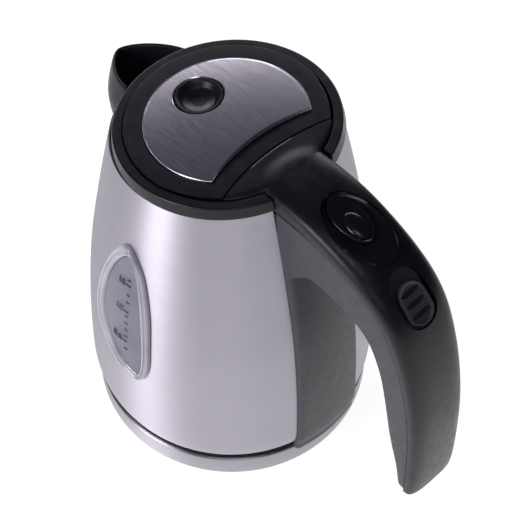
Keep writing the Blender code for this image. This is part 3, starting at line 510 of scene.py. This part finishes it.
bottom = turned("jug_bottom_ring", soft([(19, 29.5), (26, 29.5), (26, 18.8, 0.2), (70, 18.8, 0), (70, 24.5), (73.2, 24.5, 0.2), (73.2, 21.5, 0.2), (72.3, 21.3, 0.2), (72.3, 20.5, 0.2), (74.4, 20.1, 0.3),
                                         (74.4, 18.9, 0.3), (72.5, 18.6, 0.2), (72.5, 17.6, 0.2), (74.0, 17.3, 0.2), (73.8, 16.6, 0.2), (24, 16.6), (24, 27.3), (19, 27.3)], 0.3, 3), 192)
done(bottom, RINGBLACK, "kettle_body", "kettle_bottom_cover")
floor_plate = turned("jug_floor", soft([(0, 39.0), (40, 39.0, 0), (42, 39.8), (44, 39.8), (46, 39.0, 0), (69.6, 39.0), (73.4, 42.5), (75.0, 42.5), (75.0, 41.6), (74.0, 41.2), (70.6, 37.6), (0, 37.6)], 0.5, 3), 128)
done(floor_plate, PLATE, "kettle_body", "heating_plate")

# collar: the black ring under the lid
collar = turned("collar_ring", soft([(48.3, 0.15, 0.35), (52.9, 0.15, 0.9), (54.1, -6.1, 0.4), (51.5, -6.1, 0.1), (51.5, -14.0), (49.2, -14.0), (49.2, -1.3, 0.1), (48.3, -1.1, 0.2)], 0.3, 5), 224, TOP)
carve(collar, block("c", (40, -18.15, -7.5), (70, 18.15, 3), TOP))
carve(collar, turned("c", [(0, 40), (9.0, 40), (9.0, 70), (0, 70)], 48, Matrix.Translation((0, 0, 190)) @ Matrix.Rotation(-math.pi / 2, 4, "Y")))
done(collar, COLLAR, "kettle_body", "collar", flat=True)

# spout: an open trough, wide at the jug and pinched to a lip
SPOUT = [(49.5, 79.6, 18.8, 1.55, 205.9, 195.9), (51.0, 79.2, 19.9, 1.8, 198.0, 190.5), (53.5, 77.8, 20.6, 2.05, 189.0, 183.5),
         (55.5, 75.0, 20.2, 2.15, 179.0, 175.0), (57.0, 71.5, 18.6, 2.15, 168.5, 166.0), (58.0, 68.0, 15.5, 2.0, 157.0, 156.5), (58.5, 66.2, 12.0, 2.0, 149.5, 149.0)]
spout_spline = [natural(range(len(SPOUT)), [row[k] for row in SPOUT]) for k in range(6)]


def spout_ring(level, inset, rise=0.0, rear=-40.0):
    root, nose, half, power, z_root, z_nose = (f(level) for f in spout_spline)
    ring = []
    for i in range(57):
        u = -math.pi / 2 + math.pi * i / 56
        c, s = math.cos(u), math.sin(u)
        k = abs(c) ** (2 / power)
        ring.append((-(root + (nose - inset - root) * k), (half - inset) * math.copysign(abs(s) ** (2 / power), s), z_root + (z_nose - z_root) * k + rise))
    return ring + [(rear, half - inset, z_root + rise), (rear, -(half - inset), z_root + rise)]


rows = [spout_ring(6 - 6 * i / 44, 0) for i in range(44)]
rows += [spout_ring(0, 1.05 - 1.05 * math.cos(a), 1.0 * math.sin(a) - 0.4, -40 - 1.9 * a / math.pi) for a in np.linspace(0, math.pi, 9)]
rows += [spout_ring(level, 2.1, 0, -42) for level in np.linspace(0.15, 4.4, 20)]
spout = add("pouring_spout", *skin(rows))


def jug_block(name, grow, z0, z1, count=160):
    hs = list(np.linspace(z1, z0, 48))
    return turned(name, [(0, z1)] + [(jug_radius(z) + grow, z) for z in hs] + [(0, z0)], count)


carve(spout, jug_block("c", 0.12, 140, 218))
carve(spout, turned("c", [(0, 4), (53.75, 4), (53.75, -0.4), (54.35, -6.4), (54.35, -20), (0, -20)], 160, TOP))
# The spout takes the lifted black, whose extra lightness paints the reflections in its trough.
done(spout, SPOUT_BLACK_PAINTED_REFLECTION, "kettle_body", "spout", angle=40)

# water gauge
rows = [gauge_row(f, o) for f, o in ((0.02, 0.15), (0.0, 0.5), (0.0, 1.5), (0.05, 2.3), (0.14, 2.75), (0.26, 2.85), (0.34, 2.55), (0.40, 2.05), (0.47, 2.05),
                                     (0.54, 2.55), (0.64, 2.7), (0.76, 2.5), (0.86, 2.0), (0.93, 1.2), (0.95, -0.3), (0.8, -0.4), (0.72, 0.15))]
rim = add("gauge_rim", *skin(rows, loop=True))
done(rim, BEZEL, "kettle_body", "gauge_window_frame")
fade = [1 + i / 8 for i in range(9)]
rows = [gauge_row(0.97, 0.7), gauge_row(0.97, 1.3)] + [gauge_row(f, 1.5 + 0.5 * math.sin((f - 1) * math.pi / 2)) for f in fade] + [gauge_row(f, 0.7) for f in fade[::-1]]
done(add("gauge_pane", *skin(rows, loop=True)), CLEAR, "kettle_body", "gauge_window_pane")
rows = [gauge_row(0.78, -0.9), gauge_row(0.78, -0.5), gauge_row(0.9, -0.35)] + [gauge_row(f, -0.35) for f in fade] + [gauge_row(f, -1.1) for f in fade[::-1]]
done(add("gauge_back", *skin(rows, loop=True)), BACKPLATE, "kettle_body", "gauge_gasket")


def on_gauge(name, outline_sets, thick=0.12, out=2.02):
    """Flat shapes in (round the jug, height), laid on the pane."""
    verts, faces = [], []
    for outline in outline_sets:
        base = len(verts)
        for o in (out - 0.8, out + thick):
            verts += [on_jug(s, z, o) for s, z in outline]
        n = len(outline)
        faces += [(base + i, base + (i + 1) % n, base + n + (i + 1) % n, base + n + i) for i in range(n)]
        faces += [tuple(range(base, base + n))[::-1], tuple(range(base + n, base + 2 * n))]
    return add(name, verts, faces)


def bar(s0, s1, z, h=0.55):
    count = 6
    return [(lerp(s0, s1, i / count), z) for i in range(count + 1)] + [(lerp(s1, s0, i / count), z + h) for i in range(count + 1)]


SEGMENTS = {"0": "abcdef", "1": "bc", "2": "abged", "5": "afgcd", "7": "abc"}


def digit(char, s, z, h=3.6, w=2.0, t=0.5):
    """A plain figure made of strokes."""
    m = h / 2
    strokes = {"a": (s, s + w, z + h - t, z + h), "b": (s + w - t, s + w, z + m, z + h), "c": (s + w - t, s + w, z, z + m), "d": (s, s + w, z, z + t),
               "e": (s, s + t, z, z + m), "f": (s, s + t, z + m, z + h), "g": (s, s + w, z + m - t / 2, z + m + t / 2)}
    return [[(a, c), (b, c), (b, d), (a, d)] for a, b, c, d in (strokes[k] for k in SEGMENTS[char])]


marks = []
for z, text in ((146.5, "15"), (127.0, "10"), (103.0, "05")):
    marks += digit(text[0], -4.6, z) + digit(text[1], -1.2, z) + [[(-2.3, z), (-1.75, z), (-1.75, z + 0.55), (-2.3, z + 0.55)]] + [bar(1.6, 4.6, z + 1.5)]
for k in range(11):
    z = 98.0 + 5.4 * k
    if all(abs(z - q - 1.5) > 2.6 for q in (146.5, 127.0, 103.0)):
        marks.append(bar(2.6, 4.6, z, 0.4))
done(on_gauge("gauge_marks", marks), INK, "kettle_body")

# ---------------------------------------------------------------- lid, in the collar's plane


def lens(r, cx, big, z, z_rear=None, back=None, n=132, m=52):
    """A circle about the axis, cut behind by the big circle about (cx, 0); back is its radius behind x = 17."""
    back = r if back is None else back
    x0 = (r * r - big * big + cx * cx) / (2 * cx)
    y0 = math.sqrt(r * r - x0 * x0)
    a0 = math.atan2(y0, x0)
    pts = []
    for a in np.linspace(a0, 2 * math.pi - a0, n + 1):
        k = lerp(r, back, smooth((r * math.cos(a) - 6) / 11))
        pts.append((k * math.cos(a), k * math.sin(a), z))
    x0, y0 = x0 * back / r, y0 * back / r
    d = math.asin(y0 / big)
    shift = x0 - (cx - big * math.cos(d))
    return pts + [(cx + shift * (abs(b) / d) ** 2 - big * math.cos(b), big * math.sin(b), z if z_rear is None else z_rear) for b in np.linspace(-d, d, m + 2)]


def round_dish(row, r, z):
    """The points of a circle round the dish that face those of an outline."""
    out = []
    for x, y, _ in row:
        a = math.atan2(y, x - DISH_X)
        out.append((DISH_X + r * math.cos(a), r * math.sin(a), z))
    return out


lid_rows = [lens(45.6, 119, 92.6, -1.1, -1.1, 45.2), lens(45.8, 119, 92.5, -6.7, -1.15, 45.2), lens(46.2, 119, 92.4, -7.0, -1.2, 45.4),
            lens(47.0, 119, 92.3, -7.0, -1.2, 45.8), lens(47.3, 119, 92.1, -6.6, -1.1, 46.1), lens(47.7, 119, 91.9, 0.0, -0.5, 46.15),
            lens(47.9, 119, 91.5, 0.35, 0.2, 47.0), lens(47.9, 119, 91.05, 0.65, 0.7, 47.1), lens(47.78, 119, 90.98, 0.92, 0.94, 47.0),
            lens(47.4, 119, 91.25, DROP, DROP, 46.7), lens(39.5, 104.6, 85.2, DROP), lens(39.15, 104.6, 85.5, DROP - 0.1), lens(39.0, 104.6, 85.7, DROP - 0.4),
            lens(39.0, 104.6, 85.7, 0.15)]
lid_rows += [round_dish(lid_rows[-1], 12.6, 0.15), round_dish(lid_rows[-1], 12.6, -1.1)]
lid = add("lid_ring", *skin(lid_rows, loop=True), TOP)
HZ = DROP - 2.6
for side in (-1, 1):
    lo, hi = sorted((side * 11.0, side * 14.0))
    ear = [(21.8, 0.0), (21.8, -2.2), (22.6, -3.1), (24.9, -3.1), (25.7, -2.2), (25.7, -0.6), (25.7, 0.0)]
    carve(lid, add("c", *skin([[(x, y, z) for x, z in ear] for y in (lo, hi)]), TOP), "UNION")
carve(lid, block("c", (16.5, -2.0, -5.7), (20.0, 2.0, -0.4), TOP), "UNION")
carve(lid, block("c", (17.0, -1.9, -6.1), (37.0, 1.9, -4.95), TOP), "UNION")
pin_hole = turned("c", [(0, -30), (0.95, -30), (0.95, 30), (0, 30)], 32, TOP @ Matrix.Translation((24, 0, HZ)) @ Matrix.Rotation(math.pi / 2, 4, "X"))
carve(lid, pin_hole)
done(lid, BLACK, "lid", "lid_cover", angle=36, flat=True)


def dome_height(x, y):
    return 1.75 + 1.5 * (1 - (x * x + y * y) / 38.5 ** 2)


edge = lens(38.2, 104.6, 86.5, 0)
rows = [round_dish(edge, 12.0, 0.3), lens(38.3, 104.6, 86.4, 0.3), lens(38.35, 104.6, 86.35, 0.5), lens(38.35, 104.6, 86.35, 1.6)]
rows += [[(x, y, dome_height(x, y) - 0.05) for x, y, _ in edge]]
hole = round_dish(edge, 12.55, 0)
for f in (0.02, 0.05, 0.1, 0.2, 0.35, 0.5, 0.65, 0.8, 0.9, 0.96, 1.0):
    rows.append([(lerp(p[0], q[0], f), lerp(p[1], q[1], f), dome_height(lerp(p[0], q[0], f), lerp(p[1], q[1], f))) for p, q in zip(edge, hole)])
rows += [[(x, y, dome_height(x, y) - 0.35) for x, y, _ in round_dish(edge, 12.05, 0)], round_dish(edge, 12.0, 1.6)]
done(add("lid_inlay", *skin(rows, loop=True), TOP), STEEL_LID, "lid", "lid_steel_inlay", angle=14)
# The thin rim round the lid inlay, in the lightened steel that paints its bright edge highlight.
rows = [lens(38.72, 104.6, 85.98, z) for z in (1.0, 1.72)] + [lens(38.62, 104.6, 86.08, 1.84), lens(38.46, 104.6, 86.24, 1.84), lens(38.4, 104.6, 86.3, 1.7), lens(38.4, 104.6, 86.3, 1.0)]
trim = add("lid_inlay_rim", *skin(rows, loop=True), TOP)
done(trim, RIM_STEEL_PAINTED_HIGHLIGHT, "lid", angle=20)
dish = turned("lid_finger_dish", soft([(0, -1.5), (3.5, -1.3, 2), (7.5, -0.2, 2), (9.6, 1.9, 1), (10.6, 2.6, 0.4), (11.2, 2.6, 0.3), (11.35, 1.8, 0.2), (11.3, -0.4, 0.2), (10.8, -3.4), (0, -3.4)], 0.3, 6), 128,
              TOP @ Matrix.Translation((DISH_X, 0, 0)))
done(dish, DISHBLACK, "lid", "lid_dish", angle=40)
inner_cover = turned("lid_underside", soft([(0, -4.6), (10, -4.6, 0), (43.0, -4.6), (43.6, -5.2), (43.6, -9.2), (41.8, -9.2), (41.4, -6.4, 0.8), (30, -6.4), (29.4, -6.9), (27.6, -6.9), (27, -6.4), (0, -6.4)], 0.3, 3), 128, TOP)
carve(inner_cover, block("c", (15, -60, -20), (70, 60, 5), TOP))
done(inner_cover, INNERLID, "lid", "lid_inner_cover")
seal = turned("lid_seal", soft([(44.0, -7.4), (45.6, -7.4), (47.3, -7.6), (47.6, -8.6), (45.6, -9.6), (44.0, -9.6)], 0.35, 3), 160, TOP)
carve(seal, block("c", (15, -60, -20), (70, 60, 5), TOP))
done(seal, SILICONE, "lid", "lid_gasket")

# ---------------------------------------------------------------- handle
seam_run, seam_at = path(SEAM)
grip_run, grip_at = path(GRIP)
SEAM_END = seam_run[-1]


def half_at(z):
    return float(np.interp(z, (62, 100, 140, 178, 210), (15.6, 15.8, 16.2, 17.0, 17.8)))


def crown_at(s, z):
    if z > 196:
        return lerp(8.75, 8.4, smooth(s / 22))
    return float(np.interp(z, (62, 100, 140, 178, 196), (6.0, 6.9, 7.5, 8.2, 8.4)))


def power_at(x):
    return lerp(5.5, 3.2, smooth((x - 52) / 55)) if x < 107 else 3.2


HALF_POINTS = 26


def arch(half, height, base, power, thick):
    """(y, h) round the outside of a section and back round its inside."""
    ring = []
    for w, h0, order in ((half, height, 1), (half - thick, height - thick, -1)):
        for k in range(2 * HALF_POINTS + 1)[::order]:
            u = math.pi * k / (2 * HALF_POINTS)
            v = math.copysign(abs(math.cos(u)) ** 0.62, math.cos(u))
            if k in (0, 2 * HALF_POINTS):
                h = 0.0
            else:
                h = max(0.0, 1 - abs(v) ** power) ** (1 / power)
            ring.append((w * v, base + (h0 - base) * h, v))
    return ring


rows = []
END_A, START_A = math.atan2(33.2, 34.6), math.asin(17.8 / 47.85)
for t, top_z, thick, lean in ((0.0, -1.15, 0.06, 2.3), (0.0, 0.75, 1.7, 0.25), (0.0, 1.0, 2.0, 0.1)) + tuple((q, DROP, 2.2, 0.0) for q in np.linspace(0, 1, 14)):
    a = lerp(END_A, START_A, t)
    xe, ye = 47.85 * math.cos(a), 47.85 * math.sin(a)
    xm = lerp(28.7, 44.6, t) + lean + (0.25 if t == 0 and top_z == DROP else 0)
    base = lerp(-3.2, -7.6, smooth(t))
    row = []
    for y, h, v in arch(ye, top_z, base, lerp(18, 5.5, smooth(t)), thick):
        x = xe + (xm - xe) * (1 - v * v)
        nose = math.hypot(max(0.0, 46.0 - x) / 13.5, y / 19.5)
        lift = 1.15 * (1 - smooth((nose - 0.35) / 0.65)) if t else 0.0
        row.append(tuple(TOP @ Vector((x, y, h + lift * smooth((h + 6) / 6)))))
    rows.append(row)
for s in list(np.linspace(1.6, SEAM_END, 110)):
    p, t = seam_at(s)
    n = Vector((-t.y, t.x))
    left = SEAM_END - s
    shrink = math.sqrt(max(0.02, 1 - (1 - min(1, left / 6.0)) ** 2))
    row = []
    for y, h, v in arch(half_at(p.y) * lerp(0.6, 1, shrink), max(0.7, crown_at(s, p.y) * shrink), 0.15, power_at(p.x), 2.2 if left > 6 else 0.4 + 1.8 * left / 6):
        lift = 1.15 * (1 - smooth((abs(y) / 19.5 - 0.35) / 0.65)) * (1 - smooth((s - 6) / 34))
        q = p + n * (h + lift * smooth(h / 6))
        row.append((q.x, y, q.y))
    rows.append(row)
upper = add("handle_top_shell", *skin(rows))
carve(upper, prism("c", oval(20.9, 12.9, 96, 5.5), -1.55, 10, BUTTON))
carve(upper, prism("c", oval(17.0, 9.6, 64, 2.0), -12, 10, BUTTON))
carve(upper, prism("c", stadium(15.0, 9.2, 28, -0.9), -3.0, 10, SWITCH))
carve(upper, prism("c", stadium(14.2, 8.5, 28, -0.9), -12, 10, SWITCH))
done(upper, BLACK, "kettle_body", "handle_upper_shell", angle=38)

# lower shell of the handle: a hollow arm below the seam, and the strip down the jug
KEYS = [(14.0, 0.0), (27, 8), (41, 18.5), (54, 26.5), (66.5, 34), (77, 40.6), (86, 48)]
rows = []
COUNT = 100
key_s = [s / 1.0 for s in (6.0, 16.08, 29.1, 42.3, 54.8, 67.0, 77.3, 86.2, 97.4, 110.3, 124.5, 139.6, 156.0, 171.7, 187.1, 201.1, 212.0)]
key_s = [k * SEAM_END / seam_run[-1] for k in key_s]
for i in range(COUNT):
    f = i / (COUNT - 1) * (len(GRIP) - 1)
    g = float(np.interp(f, range(len(GRIP)), grip_run))
    s = min(float(np.interp(f, range(len(GRIP)), key_s)), SEAM_END - 0.5)
    p, t = seam_at(s)
    q, _ = grip_at(g)
    down = q - p
    deep = down.length
    down.normalize()
    w = half_at(p.y) + 0.35 * (1 - smooth((p.x - 62) / 20))
    left = (len(GRIP) - 1 - f)
    pinch = math.sqrt(max(0.03, 1 - (1 - min(1, left / 0.75)) ** 2))
    w *= lerp(0.72, 1, pinch)
    start = 0.15
    section = soft([(-w, start, 0.25), (-w, deep, 5.0), (w, deep, 5.0), (w, start, 0.25), (w - 2.2, start, 0.1), (w - 2.2, deep - 2.6, 3.4), (-w + 2.2, deep - 2.6, 3.4), (-w + 2.2, start, 0.1)], 0.3, 6)
    rows.append([(p.x + down.x * d, y, p.y + down.y * d) for y, d in section])
lower = add("handle_grip_shell", *skin(rows))


def strip_half(z):
    return lerp(20.8, 18.2, (z - 17) / 190)


rows = []
for z in [16.9, 17.2, 17.8] + list(np.linspace(19, 30, 8)) + list(np.linspace(34, 209, 60)):
    w = strip_half(z)
    fade_in = smooth((z - 16.5) / 1.2)
    proud = 3.0 * lerp(0.72, 1, fade_in)
    r = jug_radius(max(z, 24)) if z > 24 else jug_radius(24) - 0.35
    low_r = (jug_radius(z) + 0.12) if z > 21.6 else 74.75
    ys = [(-w, low_r), (-w, r + proud - 1.2), (-w + 0.35, r + proud - 0.45), (-w + 1.1, r + proud)] + [(w * k, r + proud) for k in np.linspace(-0.86, 0.86, 21)]
    ys += [(w - 1.1, r + proud), (w - 0.35, r + proud - 0.45), (w, r + proud - 1.2), (w, low_r)]
    row = [(math.sqrt(q * q - y * y), y, z) for y, q in ys]
    row += [(math.sqrt(low_r ** 2 - (w * k) ** 2), w * k, z) for k in np.linspace(0.9, -0.9, 19)]
    rows.append(row)
strip = add("strip", *skin(rows))
carve(lower, jug_block("c", 0.8, 120, 212))
carve(lower, strip, "UNION")
carve(lower, turned("c", [(0, 3), (53.9, 3), (54.4, -6.4), (54.4, -20), (0, -20)], 128, TOP))
done(lower, GREY, "kettle_body", "handle_lower_shell", angle=38)
for i, (x, z, lean, dx, dz) in enumerate([(92, 180.6, 0.1, 0, 0), (126.2, 119, 1.30, 0, 0)]):
    place = Matrix.Translation((x, 0, z)) @ Matrix.Rotation(lean, 4, "Y")
    screw(f"handle_fixing_{i + 1}", [(0, 11.0), (1.2, 10.6), (1.2, 1.1), (2.5, 1.1), (2.5, 0.4), (2.1, 0.1), (0, 0.0)], 0.0, place, "kettle_body", f"handle_screw_{i + 1}")

# button and its glossy surround
outer_oval, hole_oval = oval(20.6, 12.6, 96, 5.5), oval(13.85, 7.95, 96)
rows = []
for f, z in ((0, -1.45), (0, -0.55), (0.03, -0.32), (0.08, -0.28), (0.3, -0.62), (0.6, -0.95), (0.9, -1.05), (1.0, -1.15), (1.0, -1.45)):
    rows.append([(lerp(p[0], q[0], f), lerp(p[1], q[1], f), z) for p, q in zip(outer_oval, hole_oval)])
done(add("button_surround", *skin(rows, loop=True), BUTTON), GLOSS, "kettle_body", "button_insert")
edge_oval, dome_oval = oval(13.4, 7.5, 96), oval(7.4, 4.7, 96, 4.1)
rows = [[(x * 0.985, y * 0.975, -4.2) for x, y in edge_oval], [(x, y, -4.0) for x, y in edge_oval], [(x, y, 0.15) for x, y in edge_oval],
        [(x * 0.985, y * 0.975, 0.42) for x, y in edge_oval], [(x * 0.96, y * 0.93, 0.5) for x, y in edge_oval]]
for f in (0.15, 0.4, 0.7, 0.93, 1.0):
    rows.append([(lerp(p[0] * 0.96, q[0], f), lerp(p[1] * 0.93, q[1], f), 0.5 - 0.45 * math.sin(math.pi * f / 2)) for p, q in zip(edge_oval, dome_oval)])
for a in np.linspace(0.12, math.pi / 2 - 0.02, 9):
    rows.append([(4.1 + (x - 4.1) * math.cos(a), y * math.cos(a), 0.05 + 1.5 * math.sin(a)) for x, y in dome_oval])
button = add("release_button_cap", *skin(rows), BUTTON)
carve(button, prism("c", oval(11.9, 6.0, 64), -6, -1.2, BUTTON))
carve(button, turned("c", [(0, -7.4), (1.6, -7.4), (1.6, -0.6), (0, -0.6)], 32, BUTTON), "UNION")
done(button, GLOSS, "release_button", "lid_release_button", angle=30)

# power switch: recess plate, and the slider with three lens-shaped slots
plate = prism("switch_plate", stadium(14.9, 9.1, 28, -0.9), -2.95, -2.0, SWITCH, edge=0.15)
carve(plate, prism("c", stadium(8.6, 3.4, 12, -0.5), -12, 10, SWITCH))
done(plate, SWITCHGREY, "kettle_body", "switch_bezel")
shape = stadium(10.5, 7.3, 28, 1.5)


def shrink_by(d):
    return stadium(10.5 - d, 7.3 - d, 28, 1.5)


rows = [[(x, y, z) for x, y in shrink_by(d)] for d, z in ((0.0, -1.75), (0.0, 0.75), (0.12, 1.05), (0.4, 1.2), (0.8, 1.15), (1.1, 0.9), (1.5, 0.65), (2.4, 0.55), (4.2, 0.5), (6.0, 0.5))]
slider = add("switch_slider", *skin(rows), SWITCH)
for i in range(3):
    x = -4.1 + 5.45 * i
    lens_cut = [(x + 1.35 * math.cos(a), 5.3 * math.sin(a)) for a in np.linspace(0, 2 * math.pi, 40, endpoint=False)]
    carve(slider, prism("c", lens_cut, -1.2, 3, SWITCH))
carve(slider, block("c", (-1.5, -2.2, -5.2), (3.6, 2.2, -1.2), SWITCH), "UNION")
done(slider, SWITCHGREY, "power_switch", "power_switch_slider", angle=36)

# ---------------------------------------------------------------- the CAD pieces that stay get their materials
verts, faces, ring_points = [], [], 8
turns = np.linspace(0, 5.0 * 2 * math.pi, 161)
for a in turns:
    centre = Vector((2.6 * math.cos(a), 2.6 * math.sin(a), -1.65 - 6.4 * a / turns[-1]))
    side = Vector((math.cos(a), math.sin(a), 0))
    for k in range(ring_points):
        b = 2 * math.pi * k / ring_points
        verts.append(centre + side * (0.36 * math.cos(b)) + Vector((0, 0, 0.36 * math.sin(b))))
for i in range(len(turns) - 1):
    for k in range(ring_points):
        n = (k + 1) % ring_points
        faces.append((i * ring_points + k, i * ring_points + n, (i + 1) * ring_points + n, (i + 1) * ring_points + k))
faces += [tuple(range(ring_points))[::-1], tuple(range((len(turns) - 1) * ring_points, len(turns) * ring_points))]
coil = add("button_spring", verts, faces, BUTTON)
done(coil, WIRE, "kettle_body", "release_spring")
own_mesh(coil)

KEEP = {"heating_element": PLATE, "thermostat_controller": IVORY, "spout_filter": SILICONE, "hinge_pin": WIRE, "hinge_spring": WIRE, "hinge_bracket": GREY,
        "lid_latch": GREY, "switch_block": IVORY, "bimetal_disc": BRASS, "internal_wires": INSULATION}
for name, node in nodes.items():
    if not node.hide_render:
        node.data.materials.clear()
        node.data.materials.append(KEEP[name])

# ---------------------------------------------------------------- floor, light and camera
floor_mat = Mat("pale_floor").set(Roughness=0.9)
floor_mat.link(floor_mat.ramp(floor_mat.noise(3.0), [(0.3, (0.24, 0.24, 0.245)), (0.7, (0.26, 0.26, 0.26))]), "Base Color")
floor_mat.shader.inputs["Emission Color"].default_value = (1, 1, 1, 1)
floor_mat.shader.inputs["Emission Strength"].default_value = 0.93
mesh = bpy.data.meshes.new("floor")
mesh.from_pydata([(-4, -4, -0.0003), (4, -4, -0.0003), (4, 4, -0.0003), (-4, 4, -0.0003)], [], [(0, 1, 2, 3)])
mesh.materials.append(floor_mat.mat)
floor = bpy.data.objects.new("floor", mesh)
scene.collection.objects.link(floor)

world = bpy.data.worlds.new("studio")
scene.world = world
world.use_nodes = True
world.node_tree.nodes["Background"].inputs["Color"].default_value = (0.045, 0.041, 0.064, 1)
world.node_tree.nodes["Background"].inputs["Strength"].default_value = 1.0


def softbox(name, azimuth, elevation, distance, width, height, radiance, target=(0, 0, 0.12), tint=(0.96, 0.93, 1.0)):
    a, e = math.radians(azimuth), math.radians(elevation)
    away = Vector((math.cos(a) * math.cos(e), math.sin(a) * math.cos(e), math.sin(e)))
    light = bpy.data.lights.new(name, "AREA")
    light.shape = "RECTANGLE"
    light.size, light.size_y = width, height
    light.energy = radiance * math.pi * width * height
    light.color = tint
    obj = bpy.data.objects.new(name, light)
    scene.collection.objects.link(obj)
    obj.location = Vector(target) + away * distance
    obj.rotation_euler = away.to_track_quat("Z", "Y").to_euler()
    return obj


softbox("key", -97, 28, 1.25, 0.42, 0.75, 10.0)
softbox("back_panel", 139, 20, 1.5, 1.6, 0.42, 4.6)
softbox("overhead", -43, 73, 1.7, 0.34, 0.34, 6.0)
softbox("front", -42, 38, 1.5, 0.5, 0.4, 1.3)

camera = bpy.data.cameras.new("camera")
camera.lens, camera.sensor_width, camera.clip_start = 104.85, 36, 0.01
cam = bpy.data.objects.new("camera", camera)
scene.collection.objects.link(cam)
fw = Vector((-0.4035, 0.3736, -0.8352)).normalized()
right = fw.cross(Vector((0, 0, 1))).normalized()
up = right.cross(fw)
roll = math.radians(0.16)
x_axis, y_axis = right * math.cos(roll) + up * math.sin(roll), up * math.cos(roll) - right * math.sin(roll)
cam.matrix_world = Matrix((x_axis, y_axis, -fw)).transposed().to_4x4()
cam.location = (0.323, -0.280, 0.749)
scene.camera = cam
scene.view_settings.view_transform = "Standard"
